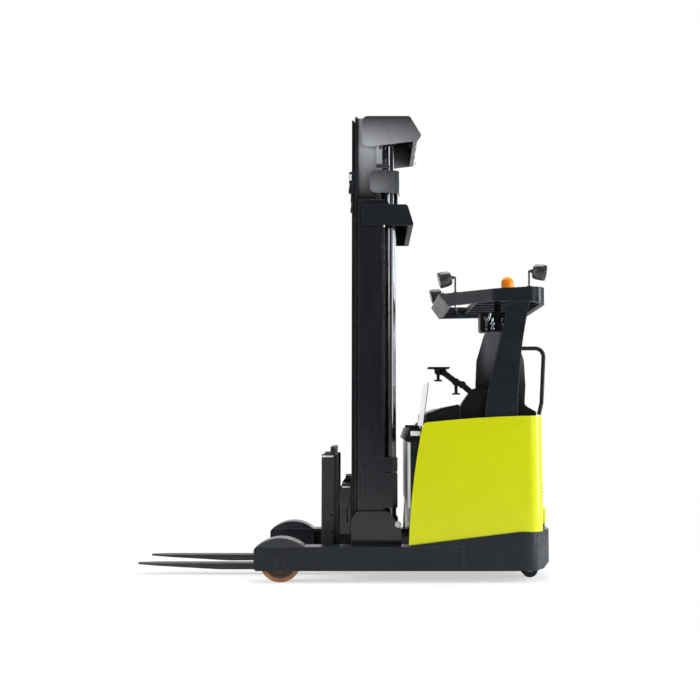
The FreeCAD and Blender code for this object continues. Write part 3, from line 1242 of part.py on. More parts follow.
def outer_mast():
    """Outer stage on the reach carriage, with the feet of the lift cylinders and chains."""
    side = rail(OUTER_FRONT, OUTER_WEB, 0.0, OUTER_FLANGE, OUTER_BOTTOM, OUTER_TOP)
    pieces = near_and_far(side)
    for low in (OUTER_CROSS_LOW, OUTER_CROSS_MIDDLE, OUTER_TOP - CROSS_HEIGHT):
        pieces.append(cross_member(OUTER_REAR, OUTER_WEB, low))
    foot = block(OUTER_FRONT, OUTER_REAR, -REACH_PLATE_OUTER + REACH_PLATE, -OUTER_WEB, OUTER_BOTTOM,
                 OUTER_FOOT_TOP)
    pieces.extend(near_and_far(foot))
    seat = block(OUTER_REAR - CLEAR, LIFT_CYLINDER_BEHIND + LIFT_BARREL_RADIUS,
                 -OUTER_WEB + RAIL_WEB, -LIFT_CYLINDER_SIDE + LIFT_BARREL_RADIUS,
                 LIFT_BARREL_BOTTOM - LIFT_FOOT_PLATE, LIFT_BARREL_BOTTOM)
    pieces.extend(near_and_far(seat))
    anchor_top = OUTER_CROSS_MIDDLE + CROSS_HEIGHT
    anchor = block(OUTER_REAR + CROSS_PLATE, mast_chain_back() + CHAIN_THICKNESS,
                   -CHAIN_SIDE - CHAIN_WIDTH / 2.0, -CHAIN_SIDE + CHAIN_WIDTH / 2.0,
                   anchor_top - CHAIN_ANCHOR, anchor_top)
    pieces.extend(near_and_far(anchor))
    return join(*pieces)


def mast_sheave_place():
    """Lengthways place of the mast sheaves, whose chains run down behind the inner stage."""
    return INNER_REAR + CHAIN_RUN + CHAIN_THICKNESS + MAST_SHEAVE_RADIUS


def mast_chain_back():
    """Lengthways place of the front face of the mast chains' rear run."""
    return mast_sheave_place() + MAST_SHEAVE_RADIUS


def middle_mast():
    """Middle stage, with the brackets that the lift rods push and the chain sheaves."""
    side = rail(MIDDLE_FRONT, MIDDLE_WEB, MIDDLE_FLANGE, MIDDLE_INNER_FLANGE, MIDDLE_BOTTOM, MAST_TOP)
    pieces = near_and_far(side)
    for low in (MIDDLE_BOTTOM + CROSS_HEIGHT, MAST_TOP - 2.0 * CROSS_HEIGHT):
        pieces.append(cross_member(MIDDLE_REAR, MIDDLE_WEB, low))
    flange_inner = MIDDLE_WEB - RAIL_WEB - MIDDLE_INNER_FLANGE
    yoke = block(MIDDLE_REAR, LIFT_CYLINDER_BEHIND + LIFT_BARREL_RADIUS, -MIDDLE_WEB - MIDDLE_FLANGE,
                 -flange_inner, LIFT_ROD_TOP, LIFT_ROD_TOP + YOKE_HEIGHT)
    pieces.extend(near_and_far(yoke))
    back = mast_sheave_place()
    radius = MAST_SHEAVE_RADIUS - CHAIN_RUN / 2.0
    chain_outer = -CHAIN_SIDE - CHAIN_WIDTH / 2.0
    sheave = rod_y(back, MAST_SHEAVE_HEIGHT, radius, chain_outer, chain_outer + CHAIN_WIDTH)
    pin = rod_y(back, MAST_SHEAVE_HEIGHT, MAST_SHEAVE_PIN, -flange_inner - MAST_SHEAVE_BRACKET,
                chain_outer + CHAIN_WIDTH)
    bracket = block(MIDDLE_REAR - RAIL_FLANGE, back + MAST_SHEAVE_PIN * 2.0,
                    -flange_inner - MAST_SHEAVE_BRACKET, -flange_inner,
                    MAST_SHEAVE_HEIGHT - MAST_SHEAVE_RADIUS, MAST_SHEAVE_HEIGHT + MAST_SHEAVE_PIN * 2.0)
    pieces.extend(near_and_far(join(sheave, pin, bracket)))
    return join(*pieces)


def inner_mast():
    """Inner stage that carries the lift carriage."""
    side = rail(INNER_FRONT, INNER_WEB, INNER_FLANGE, INNER_INNER_FLANGE, INNER_BOTTOM, INNER_TOP)
    pieces = near_and_far(side)
    for low in (INNER_BOTTOM, INNER_TOP - CROSS_HEIGHT):
        pieces.append(cross_member(INNER_REAR, INNER_CROSS_HALF, low))
    foot = block(FREE_BEHIND - FREE_BARREL_RADIUS, INNER_REAR, -INNER_WEB, INNER_WEB, INNER_BOTTOM,
                 INNER_BOTTOM + CROSS_PLATE)
    pieces.append(foot)
    pad = block(INNER_REAR - RAIL_FLANGE, INNER_REAR, -MIDDLE_WEB + RAIL_WEB + SOFT_GAP,
                -INNER_WEB - INNER_FLANGE, INNER_BOTTOM + SLIDE_PAD_HEIGHT,
                INNER_BOTTOM + 2.0 * SLIDE_PAD_HEIGHT)
    pieces.extend(near_and_far(pad))
    chain_inner = -CHAIN_SIDE + CHAIN_WIDTH / 2.0
    anchor = block(INNER_REAR - RAIL_FLANGE, INNER_REAR + CHAIN_RUN + CHAIN_THICKNESS,
                   chain_inner - CHAIN_WIDTH, chain_inner, INNER_BOTTOM, INNER_BOTTOM + CHAIN_ANCHOR)
    pieces.extend(near_and_far(anchor))
    return join(*pieces)


def chain_over(back, side, radius, height, front_low, rear_low):
    """Flat chain over a sheave: a front run, the half turn and a rear run."""
    outer = radius + CHAIN_THICKNESS
    low = side - CHAIN_WIDTH / 2.0
    high = side + CHAIN_WIDTH / 2.0
    wrap = rod_y(back, height, outer, low, high).cut(rod_y(back, height, radius, low, high))
    wrap = wrap.cut(block(back - outer, back + outer, low, high, height - outer, height))
    front = block(back - outer, back - radius, low, high, front_low, height)
    rear = block(back + radius, back + outer, low, high, rear_low, height)
    return join(wrap, front, rear)


def mast_chain():
    """Near mast chain, from the inner stage's foot over the sheave to the outer stage."""
    return chain_over(mast_sheave_place(), -CHAIN_SIDE, MAST_SHEAVE_RADIUS, MAST_SHEAVE_HEIGHT,
                      INNER_BOTTOM + CHAIN_ANCHOR, OUTER_CROSS_MIDDLE + CROSS_HEIGHT)


def free_chain():
    """Near free lift chain, from the lift carriage over the sheave to the barrel's anchor."""
    return chain_over(FREE_BEHIND, -SHEAVE_SIDE, SHEAVE_RADIUS, free_sheave_height(),
                      CARRIAGE_TOP - CARRIAGE_BAR_INSET[1] + CARRIAGE_BAR_HEIGHT + CHAIN_ANCHOR,
                      FREE_ANCHOR_HEIGHT + FREE_ANCHOR_PLATE)


def cylinder_clamps():
    """Plates on the outer stage's webs that wrap round behind the lift cylinders."""
    rear = LIFT_CYLINDER_BEHIND + LIFT_BARREL_RADIUS + CLAMP_ROOM + CLAMP_WALL
    plates = []
    for front, low, high, corner in CYLINDER_CLAMPS:
        plates.extend(near_and_far(wrapped_plate(front, rear, OUTER_WEB + CLAMP_WALL, CLAMP_BEND,
                                                 low, high, corner)))
    return group(*plates)


def wrapped_plate(front, rear, outer, bend, low, high, corner):
    """Near plate on a web that bends round behind a cylinder, its front corners rounded."""
    wall = CLAMP_WALL
    inward = outer - bend - CLAMP_INWARD
    skin = plate_z([(front, -outer, 0.0), (rear, -outer, bend), (rear, -inward, 0.0),
                    (rear - wall, -inward, 0.0), (rear - wall, -outer + wall, bend - wall),
                    (front, -outer + wall, 0.0)], low, high)
    side = plate_y([(front, low, corner), (rear, low, 0.0), (rear, high, 0.0), (front, high, corner)],
                   -outer, -inward)
    return skin.common(side)


def rod_clamps():
    """Plates on the middle stage's rear flanges that wrap the lift rods, each with a lug."""
    front, low, high, corner = ROD_CLAMP
    outer = MIDDLE_WEB + MIDDLE_FLANGE + CLAMP_WALL
    plate = wrapped_plate(front, ROD_CLAMP_REAR, outer, ROD_CLAMP_BEND, low, high, corner)
    lug_front, lug_rear, lug_low, lug_high = ROD_LUG
    half = (lug_high - lug_low) / 2.0
    lug = plate_y([(lug_front, lug_low, half - CLEAR), (lug_rear, lug_low, half - CLEAR),
                   (lug_rear, lug_high, half - CLEAR), (lug_front, lug_high, half - CLEAR)],
                  -outer, -MIDDLE_WEB - MIDDLE_FLANGE)
    return group(*near_and_far(plate), *near_and_far(lug))


def flange_clips():
    """Bright clips round the front flanges of the middle stage."""
    low, high = CLIP_HEIGHTS
    outer = MIDDLE_WEB + MIDDLE_FLANGE + CLIP_WALL
    front = MIDDLE_FRONT - CLIP_AHEAD
    corner = CLIP_CORNER
    head = plate_y([(front, low, corner), (MIDDLE_FRONT, low, 0.0), (MIDDLE_FRONT, high, 0.0),
                    (front, high, corner)], -outer, -CLIP_INNER)
    strap = block(MIDDLE_FRONT, MIDDLE_FRONT + CLIP_BEHIND, -outer, -outer + CLIP_WALL, low, high)
    hook = plate_y([(front - corner + CLIP_WALL, low - CLIP_DROP, corner),
                    (MIDDLE_FRONT - corner, low - CLIP_DROP, corner), (MIDDLE_FRONT - corner, low, 0.0),
                    (front + CLIP_WALL, low, 0.0)], -outer + CLIP_WALL, -CLIP_INNER)
    return group(*near_and_far(join(head, strap, hook)))


def lift_barrels():
    """Two lift cylinder barrels with brackets to the outer stage."""
    barrel = rod_z(LIFT_CYLINDER_BEHIND, -LIFT_CYLINDER_SIDE, LIFT_BARREL_RADIUS,
                   LIFT_BARREL_BOTTOM, LIFT_BARREL_TOP)
    bore = rod_z(LIFT_CYLINDER_BEHIND, -LIFT_CYLINDER_SIDE, LIFT_BORE_RADIUS,
                 LIFT_BARREL_BOTTOM + LIFT_ROD_SEAT, LIFT_BARREL_TOP - GLAND_LENGTH)
    gland = rod_z(LIFT_CYLINDER_BEHIND, -LIFT_CYLINDER_SIDE, LIFT_ROD_RADIUS + LIFT_ROD_FIT,
                  LIFT_BARREL_TOP - GLAND_LENGTH, LIFT_BARREL_TOP)
    barrel = barrel.cut(bore).cut(gland)
    return barrel


def lift_rod():
    """Near lift rod, from inside its barrel up to the yoke."""
    return rod_z(LIFT_CYLINDER_BEHIND, -LIFT_CYLINDER_SIDE, LIFT_ROD_RADIUS,
                 LIFT_BARREL_BOTTOM + LIFT_ROD_SEAT + CLEAR, LIFT_ROD_TOP)


def hooded_cover(outline, side, roof_front):
    """Cover open to the front and below: side panels, with a roof and rear between them."""
    (front, top), (slope, _), (rear, rear_top), (lip, lip_low), (_, bottom) = outline
    corners = [(front, top, COVER_CORNER), (slope, top, COVER_CORNER), (rear, rear_top, COVER_CORNER / 2.0),
               (lip, lip_low, COVER_CORNER / 2.0), (front, bottom, COVER_CORNER)]
    shell = plate_y(corners, -side, side)
    wall = MAST_COVER_WALL
    room = [(front - COVER_CORNER, top - wall), (slope - wall / 2.0, top - wall),
            (rear - wall, rear_top), (lip - wall, lip_low), (lip - wall, bottom - COVER_CORNER),
            (front - COVER_CORNER, bottom - COVER_CORNER)]
    inner = side - wall
    shell = shell.cut(plate_y(sharp(room), -inner, inner))
    return shell.cut(block(front - COVER_CORNER, roof_front, -inner, inner, bottom, top))


def top_cover():
    """Cover on the inner stage's top, standing on pads on its rails."""
    front = TOP_COVER_OUTLINE[0][0]
    cover = hooded_cover(TOP_COVER_OUTLINE, TOP_COVER_SIDE, front)
    roof = TOP_COVER_OUTLINE[0][1] - MAST_COVER_WALL
    pad = block(front + COVER_CORNER, INNER_REAR, -INNER_WEB, -INNER_WEB + INNER_INNER_FLANGE,
                INNER_TOP, roof)
    return join(cover, *near_and_far(pad))


def second_cover():
    """Cover on the outer stage's top, behind the rails and clear of the lift rods."""
    front, top = SECOND_COVER_OUTLINE[0]
    cover = hooded_cover(SECOND_COVER_OUTLINE, SECOND_COVER_SIDE, SECOND_ROOF_FRONT)
    pad = block(front + COVER_CORNER, OUTER_REAR - COVER_CORNER,
                -SECOND_COVER_SIDE + MAST_COVER_WALL, -OUTER_WEB,
                SECOND_COVER_OUTLINE[4][1] + COVER_CORNER, top - COVER_CORNER)
    return join(cover, *near_and_far(pad))


def free_barrel():
    """Free lift barrel on the inner stage's foot, with the anchor of its chains."""
    barrel = rod_z(FREE_BEHIND, 0.0, FREE_BARREL_RADIUS, INNER_BOTTOM + CROSS_PLATE, FREE_BARREL_TOP)
    bore = rod_z(FREE_BEHIND, 0.0, FREE_BORE_RADIUS, FREE_BARREL_BOTTOM, FREE_BARREL_TOP - GLAND_LENGTH)
    gland = rod_z(FREE_BEHIND, 0.0, FREE_ROD_RADIUS + LIFT_ROD_FIT, FREE_BARREL_TOP - GLAND_LENGTH,
                  FREE_BARREL_TOP)
    reach = FREE_BEHIND + SHEAVE_RADIUS + CHAIN_THICKNESS
    half = SHEAVE_SIDE + CHAIN_WIDTH / 2.0
    anchor = block(FREE_BEHIND, reach, -half, half, FREE_ANCHOR_HEIGHT,
                   FREE_ANCHOR_HEIGHT + FREE_ANCHOR_PLATE)
    return join(barrel, anchor).cut(bore).cut(gland)


def free_sheave_height():
    """Height of the free lift sheaves' axle."""
    return FREE_BARREL_TOP + CLEAR + FREE_HEAD_HEIGHT / 2.0


def free_rod():
    """Free lift rod with its head and a chain sheave on each side."""
    low = FREE_BARREL_TOP + CLEAR
    rod = rod_z(FREE_BEHIND, 0.0, FREE_ROD_RADIUS, FREE_BARREL_BOTTOM + CLEAR, low)
    head = block(FREE_BEHIND - SHEAVE_RADIUS / 2.0, FREE_BEHIND + SHEAVE_RADIUS / 2.0,
                 -FREE_HEAD_HALF, FREE_HEAD_HALF, low, low + FREE_HEAD_HEIGHT)
    half = SHEAVE_SIDE + CHAIN_WIDTH / 2.0
    pin = rod_y(FREE_BEHIND, free_sheave_height(), SHEAVE_PIN, -half, half)
    pieces = [rod, head, pin]
    for side in (-SHEAVE_SIDE, SHEAVE_SIDE):
        pieces.append(rod_y(FREE_BEHIND, free_sheave_height(), SHEAVE_RADIUS - CHAIN_RUN / 2.0,
                            side - CHAIN_WIDTH / 2.0, side + CHAIN_WIDTH / 2.0))
    return join(*pieces)


def lift_carriage():
    """Carriage that runs in the inner stage: roller plates, cheeks and bars between them."""
    roller_back = INNER_FRONT + RAIL_DEPTH / 2.0
    plate_rear = roller_back + CARRIAGE_PLATE_REACH
    plate_top = CARRIAGE_TOP - CARRIAGE_PLATE_REACH
    bar_rear = INNER_FRONT - CLEAR
    corner = CARRIAGE_CORNER
    plate = plate_y([(CARRIAGE_FRONT, CARRIAGE_PLATE_BOTTOM, corner),
                     (plate_rear, CARRIAGE_PLATE_BOTTOM, corner * 3.0),
                     (plate_rear, plate_top, corner * 4.0), (CARRIAGE_FRONT, plate_top, corner)],
                    -CARRIAGE_PLATE_SIDE, -CARRIAGE_PLATE_SIDE + CARRIAGE_PLATE)
    slope, drop = CARRIAGE_CHEEK_SLOPE
    cheek = plate_y([(CARRIAGE_FRONT, CARRIAGE_BOTTOM, corner), (bar_rear, CARRIAGE_BOTTOM, corner / 2.0),
                     (bar_rear, CARRIAGE_TOP, corner / 2.0), (CARRIAGE_FRONT + slope, CARRIAGE_TOP, corner),
                     (CARRIAGE_FRONT, CARRIAGE_TOP - drop, corner)],
                    -CARRIAGE_CHEEK_SIDE, -CARRIAGE_CHEEK_SIDE + CARRIAGE_CHEEK)
    slot_back, slot_low = CARRIAGE_SLOT_PLACE
    slot_width, slot_height = CARRIAGE_SLOT
    cheek = cheek.cut(block(slot_back - slot_width / 2.0, slot_back + slot_width / 2.0,
                            -CARRIAGE_CHEEK_SIDE, -CARRIAGE_CHEEK_SIDE + CARRIAGE_CHEEK,
                            slot_low, slot_low + slot_height))
    pieces = near_and_far(plate) + near_and_far(cheek)
    low_inset, high_inset = CARRIAGE_BAR_INSET
    for low in (CARRIAGE_BOTTOM + low_inset, CARRIAGE_TOP - high_inset):
        pieces.append(block(bar_rear - CARRIAGE_BAR, bar_rear, -CARRIAGE_CHEEK_SIDE,
                            CARRIAGE_CHEEK_SIDE, low, low + CARRIAGE_BAR_HEIGHT))
    half = SHEAVE_SIDE + CHAIN_WIDTH / 2.0
    bar_top = CARRIAGE_TOP - high_inset + CARRIAGE_BAR_HEIGHT
    chain_rear = FREE_BEHIND - SHEAVE_RADIUS
    for side in (-1.0, 1.0):
        near = side * (SHEAVE_SIDE - CHAIN_WIDTH / 2.0)
        pieces.append(block(bar_rear - CARRIAGE_BAR, chain_rear, near, side * half,
                            bar_top - CARRIAGE_BAR_HEIGHT, bar_top + CHAIN_ANCHOR))
    whole = join(*pieces)
    hole = rod_y(TILT_BEHIND, TILT_HEIGHT, TILT_PIN_RADIUS + TILT_FIT, -HALF_WIDTH, HALF_WIDTH)
    return whole.cut(hole)


def carriage_rollers():
    """Mast rollers on the carriage's plates."""
    radius = RAIL_DEPTH / 2.0 - RAIL_FLANGE - CARRIAGE_ROLLER_GAP
    back = INNER_FRONT + RAIL_DEPTH / 2.0
    side = CARRIAGE_PLATE_SIDE
    rollers = []
    for z in CARRIAGE_ROLLERS:
        rollers.extend(near_and_far(rod_y(back, z, radius, -side - CARRIAGE_ROLLER_WIDTH, -side)))
    return group(*rollers)


def fork_frame():
    """Tilting frame that holds the forks: side plates, ribs, bars and ears on the tilt pin."""
    front = FORK_SHANK_FRONT + FORK_THICKNESS
    plate = plate_y(FORK_FRAME_OUTLINE, -FORK_FRAME_SIDE, -FORK_FRAME_SIDE + FORK_FRAME_PLATE)
    for back, z in FORK_FRAME_HOLES:
        plate = plate.cut(rod_y(back, z, FORK_FRAME_HOLE, -FORK_FRAME_SIDE,
                                -FORK_FRAME_SIDE + FORK_FRAME_PLATE))
    ear_outer = CARRIAGE_CHEEK_SIDE - CARRIAGE_CHEEK - CLEAR / 2.0
    rib_inner = ear_outer - CARRIAGE_CHEEK
    rib = plate_y([(front, FORK_RIB_BOTTOM, 0.0), (FORK_RIB_REAR, FORK_RIB_BOTTOM, CARRIAGE_CORNER),
                   (FORK_RIB_REAR, FORK_FRAME_TOP - CLEAR, CARRIAGE_CORNER),
                   (front, FORK_FRAME_TOP - CLEAR, 0.0)], -ear_outer, -rib_inner)
    pieces = near_and_far(plate) + near_and_far(rib)
    for low in FORK_BAR_BOTTOMS:
        pieces.append(block(front, front + FORK_BAR, -FORK_FRAME_SIDE, FORK_FRAME_SIDE, low,
                            low + FORK_BAR_HEIGHT))
    top_front, top_rear, top_low, top_high = FORK_TOP_BAR
    pieces.append(block(top_front, top_rear, -ear_outer, ear_outer, top_low, top_high))
    tip = TILT_BEHIND + TILT_EAR_RADIUS
    ear = plate_y([(front, TILT_HEIGHT - TILT_EAR_RADIUS * 1.5, 0.0),
                   (tip, TILT_HEIGHT - TILT_EAR_RADIUS, TILT_EAR_RADIUS - CLEAR),
                   (tip, TILT_HEIGHT + TILT_EAR_RADIUS, TILT_EAR_RADIUS - CLEAR),
                   (front, TILT_HEIGHT + TILT_EAR_RADIUS * 1.5, 0.0)], -ear_outer, -rib_inner)
    pieces.extend(near_and_far(ear))
    pin = rod_y(TILT_BEHIND, TILT_HEIGHT, TILT_PIN_RADIUS, -CARRIAGE_CHEEK_SIDE, CARRIAGE_CHEEK_SIDE)
    pieces.append(pin)
    return join(*pieces)


def fork():
    """Near fork: an upright shank and a blade that thins to its tip."""
    shank_rear = FORK_SHANK_FRONT + FORK_THICKNESS
    bottom = FORK_TOP - FORK_THICKNESS
    outline = [(FORK_SHANK_FRONT, FORK_SHANK_TOP, 0.0), (FORK_SHANK_FRONT, FORK_TOP, FORK_HEEL_INNER),
               (-FORK_TIP_AHEAD, FORK_TOP, 0.0), (-FORK_TIP_AHEAD, FORK_TOP - FORK_TIP_THICKNESS, 0.0),
               (-FORK_TIP_AHEAD + FORK_TAPER_START, bottom, FORK_TAPER_BEND),
               (shank_rear, bottom, FORK_HEEL_RADIUS), (shank_rear, FORK_SHANK_TOP, 0.0)]
    half = FORK_WIDTH / 2.0
    blade = plate_y(outline, -FORK_SPREAD - half, -FORK_SPREAD + half)
    point = FORK_TIP_WIDTH / 2.0
    side_bend, tip_bend = FORK_TIP_BENDS
    plan = [(shank_rear + CLEAR, -FORK_SPREAD - half, 0.0), (shank_rear + CLEAR, -FORK_SPREAD + half, 0.0),
            (-FORK_TIP_AHEAD + FORK_TIP_POINT, -FORK_SPREAD + half, side_bend),
            (-FORK_TIP_AHEAD, -FORK_SPREAD + point, tip_bend),
            (-FORK_TIP_AHEAD, -FORK_SPREAD - point, tip_bend),
            (-FORK_TIP_AHEAD + FORK_TIP_POINT, -FORK_SPREAD - half, side_bend)]
    return blade.common(plate_z(plan, 0.0, FORK_SHANK_TOP + CLEAR))


def build():
    """Every piece by node name."""
    load_side = HALF_WIDTH - LEG_WIDTH / 2.0
    hub_radius = LOAD_WHEEL_RADIUS - LOAD_TYRE_THICKNESS
    drive_hub_radius = DRIVE_WHEEL_RADIUS - DRIVE_TYRE_THICKNESS
    near_panel, far_panel, rear_panel = side_panels()
    beacon_base, beacon_lens = beacon()
    near_leg = leg()
    near_axle = load_axle()
    near_cover = wheel_cover()
    near_tyre = wheel_ring(0.0, -load_side, LOAD_WHEEL_RADIUS, LOAD_WHEEL_RADIUS, hub_radius,
                           LOAD_WHEEL_WIDTH)
    near_hub = dished_hub(0.0, -load_side, LOAD_WHEEL_RADIUS, hub_radius,
                          LOAD_AXLE_RADIUS + TILT_FIT, LOAD_WHEEL_WIDTH)
    castor_back = CASTOR_BEHIND + CASTOR_TRAIL
    return {
        "leg_near": near_leg,
        "leg_far": far_copy(near_leg),
        "wheel_covers": group(*near_and_far(near_cover)),
        "load_axles": group(*near_and_far(near_axle)),
        "load_tyre_near": near_tyre,
        "load_hub_near": near_hub,
        "load_tyre_far": far_copy(near_tyre),
        "load_hub_far": far_copy(near_hub),
        "chassis_base": chassis_base(),
        "drive_unit": drive_unit(),
        "drive_tyre": wheel_ring(DRIVE_BEHIND, DRIVE_SIDE, DRIVE_WHEEL_RADIUS, DRIVE_WHEEL_RADIUS,
                                 drive_hub_radius, DRIVE_WHEEL_WIDTH),
        "drive_hub": dished_hub(DRIVE_BEHIND, DRIVE_SIDE, DRIVE_WHEEL_RADIUS, drive_hub_radius,
                                DRIVE_AXLE_RADIUS + TILT_FIT, DRIVE_WHEEL_WIDTH),
        "castor_fork": castor_fork(),
        "castor_wheel": wheel_ring(castor_back, -CASTOR_SIDE, CASTOR_RADIUS, CASTOR_RADIUS,
                                   CASTOR_AXLE_RADIUS + TILT_FIT, CASTOR_WIDTH),
        "side_panel_near": near_panel,
        "side_panel_far": far_panel,
        "rear_panel": rear_panel,
        "rear_cover": rear_cover(),
        "battery": battery(),
        "battery_front": battery_front(),
        "battery_lid": battery_lid(),
        "clear_screen": clear_screen(),
        "console": console(),
        "steering_wheel": steering_wheel(),
        "controls": controls(),
        "floor_plate": floor_plate(),
        "seat_hood": seat_hood(),
        "seat_surround": seat_surround(),
        "seat_cushion": seat_cushion(),
        "seat_shell": seat_shell(),
        "seat_back": seat_back(),
        "terminal_arm": terminal_arm(),
        "guard_posts": group(guard_post(), far_post()),
        "guard_rim": guard_rim(),
        "guard_bars": guard_bars(),
        "roof_unit": roof_unit(),
        "grab_handle": grab_handle(),
        "work_lamps": work_lamps(),
        "beacon_base": beacon_base,
        "beacon_lens": beacon_lens,
        "reach_frame": reach_frame(),
        "reach_rollers": reach_rollers(),
        "outer_mast": outer_mast(),
        "cylinder_clamps": cylinder_clamps(),
        "middle_mast": middle_mast(),
        "rod_clamps": rod_clamps(),
        "flange_clips": flange_clips(),
        "inner_mast": inner_mast(),
        "lift_barrels": group(*near_and_far(lift_barrels())),
        "lift_rods": group(*near_and_far(lift_rod())),
        "top_cover": top_cover(),
        "second_cover": second_cover(),
        "mast_chains": group(*near_and_far(mast_chain())),
        "free_lift_barrel": free_barrel(),
        "free_lift_rod": free_rod(),
        "free_chains": group(*near_and_far(free_chain())),
        "lift_carriage": lift_carriage(),
        "carriage_rollers": carriage_rollers(),
        "fork_frame": fork_frame(),
        "forks": group(*near_and_far(fork())),
    }


os.makedirs("parts", exist_ok=True)
for name, shape in build().items():
    if not shape.isValid():
        print("not valid:", name)
    shape.exportStep(os.path.join("parts", name + ".step"))
    print(name, len(shape.Solids), round(shape.Volume / 1e6, 3), "litres")
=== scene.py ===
# %% [markdown]
# # Dressing a reach truck
# The solid model of the truck is already made and fixed.  This lesson gives it the
# finishes of the real machine, adds the seat's upholstery and the small fittings, and
# lights it on a plain floor.  All lengths are metres, X runs from the fork tips to the
# drive end, the near side is negative Y, and Z is up.

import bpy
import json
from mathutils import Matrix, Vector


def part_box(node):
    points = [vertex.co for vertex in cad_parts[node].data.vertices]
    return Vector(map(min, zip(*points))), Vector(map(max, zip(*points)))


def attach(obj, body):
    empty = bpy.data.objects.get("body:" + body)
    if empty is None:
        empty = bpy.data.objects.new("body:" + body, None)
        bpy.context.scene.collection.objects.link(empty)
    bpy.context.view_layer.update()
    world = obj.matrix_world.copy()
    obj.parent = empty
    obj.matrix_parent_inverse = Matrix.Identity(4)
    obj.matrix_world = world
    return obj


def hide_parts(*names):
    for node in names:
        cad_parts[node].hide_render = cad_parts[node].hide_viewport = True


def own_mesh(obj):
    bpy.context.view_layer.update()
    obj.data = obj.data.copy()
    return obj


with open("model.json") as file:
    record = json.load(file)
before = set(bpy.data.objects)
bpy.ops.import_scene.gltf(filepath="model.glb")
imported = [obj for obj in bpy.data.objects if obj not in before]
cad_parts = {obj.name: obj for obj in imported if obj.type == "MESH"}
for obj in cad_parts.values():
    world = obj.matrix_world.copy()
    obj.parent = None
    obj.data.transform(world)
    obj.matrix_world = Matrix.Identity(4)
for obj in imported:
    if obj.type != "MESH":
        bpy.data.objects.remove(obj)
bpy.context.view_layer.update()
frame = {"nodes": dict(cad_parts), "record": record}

# %% [markdown]
# Everything else comes from Blender's own modules.  The bodies' names say what moves with what.

# %% Modules
import json
import math
import bmesh
import bpy
from mathutils import Matrix, Vector

scene = bpy.context.scene

# %% [markdown]
# ## Camera
# The picture was taken level with the operator's hips from about seven metres, a little
# nearer the drive end than the truck's middle.  A camera can be matched by eye, but the verticals and the
# floor line fix it: they give the height, the small upward tilt and the lens.  The
# Standard view keeps white paper white.

# %% Camera
CAMERA_PLACE = (0.213, -7.350, 1.1458)
CAMERA_PITCH = 4.268
CAMERA_LENS = 48.24
PHOTO_SIZE = 700.0
OPTICAL_AXIS_PIXEL = 370.0

camera_data = bpy.data.cameras.new("camera")
camera_data.lens = CAMERA_LENS
camera_data.sensor_width = 36.0
camera_data.shift_x = (PHOTO_SIZE / 2.0 - OPTICAL_AXIS_PIXEL) / PHOTO_SIZE
camera_data.dof.use_dof = False
camera = bpy.data.objects.new("camera", camera_data)
camera.location = CAMERA_PLACE
camera.rotation_euler = (math.radians(90.0 + CAMERA_PITCH), 0.0, 0.0)
scene.collection.objects.link(camera)
scene.camera = camera
scene.view_settings.view_transform = "Standard"
print("camera", CAMERA_LENS, "mm lens, shift", round(camera_data.shift_x, 4))

# %% [markdown]
# ## World and floor
# A studio cut-out has a white ground.  The world is plain white for the camera.  Other
# rays see a dimmer one, so that the shadows stay soft but dark, and what the paint
# mirrors is dark towards the camera's side and white towards the backdrop, as in a real
# studio.  That keeps the black parts black and lights their far edges.

# %% World
WORLD_FILL = 0.24
MIRROR_FRONT = 0.03
MIRROR_BACK = 1.0
MIRROR_TURN = (0.1, 0.7)

world = bpy.data.worlds.new("studio")
scene.world = world
world.use_nodes = True
tree = world.node_tree
tree.nodes.clear()


def background(strength):
    """Background shader of one grey."""
    shader = tree.nodes.new("ShaderNodeBackground")
    shader.inputs["Color"].default_value = (1.0, 1.0, 1.0, 1.0)
    shader.inputs["Strength"].default_value = strength
    return shader


path = tree.nodes.new("ShaderNodeLightPath")
clear_path = tree.nodes.new("ShaderNodeMath")
clear_path.operation = "MAXIMUM"
tree.links.new(path.outputs["Is Camera Ray"], clear_path.inputs[0])
tree.links.new(path.outputs["Is Transmission Ray"], clear_path.inputs[1])

direction = tree.nodes.new("ShaderNodeTexCoord")
parts = tree.nodes.new("ShaderNodeSeparateXYZ")
mirror_strength = tree.nodes.new("ShaderNodeMapRange")
mirror_strength.inputs["From Min"].default_value = MIRROR_TURN[0]
mirror_strength.inputs["From Max"].default_value = MIRROR_TURN[1]
mirror_strength.inputs["To Min"].default_value = MIRROR_FRONT
mirror_strength.inputs["To Max"].default_value = MIRROR_BACK
tree.links.new(direction.outputs["Generated"], parts.inputs[0])
tree.links.new(parts.outputs["Y"], mirror_strength.inputs["Value"])
mirrored = background(1.0)
tree.links.new(mirror_strength.outputs["Result"], mirrored.inputs["Strength"])

lit = tree.nodes.new("ShaderNodeMixShader")
tree.links.new(path.outputs["Is Glossy Ray"], lit.inputs["Fac"])
tree.links.new(background(WORLD_FILL).outputs[0], lit.inputs[1])
tree.links.new(mirrored.outputs[0], lit.inputs[2])
world_mix = tree.nodes.new("ShaderNodeMixShader")
tree.links.new(clear_path.outputs[0], world_mix.inputs["Fac"])
tree.links.new(lit.outputs[0], world_mix.inputs[1])
tree.links.new(background(1.0).outputs[0], world_mix.inputs[2])
world_out = tree.nodes.new("ShaderNodeOutputWorld")
tree.links.new(world_mix.outputs[0], world_out.inputs["Surface"])
print("world fill", WORLD_FILL)

# %% [markdown]
# The floor is one wide plane.  It is partly a plain pale surface, which takes the soft
# shadow, and for the camera partly a white glow.  The glow grows with distance from the
# truck, so that the floor runs into the background without an edge.

# %% Floor
FLOOR_SIZE = 60.0
FLOOR_GLOW = 0.55
SHADOW_REACH = (3.2, 1.9)
SHADOW_EDGE = 0.45

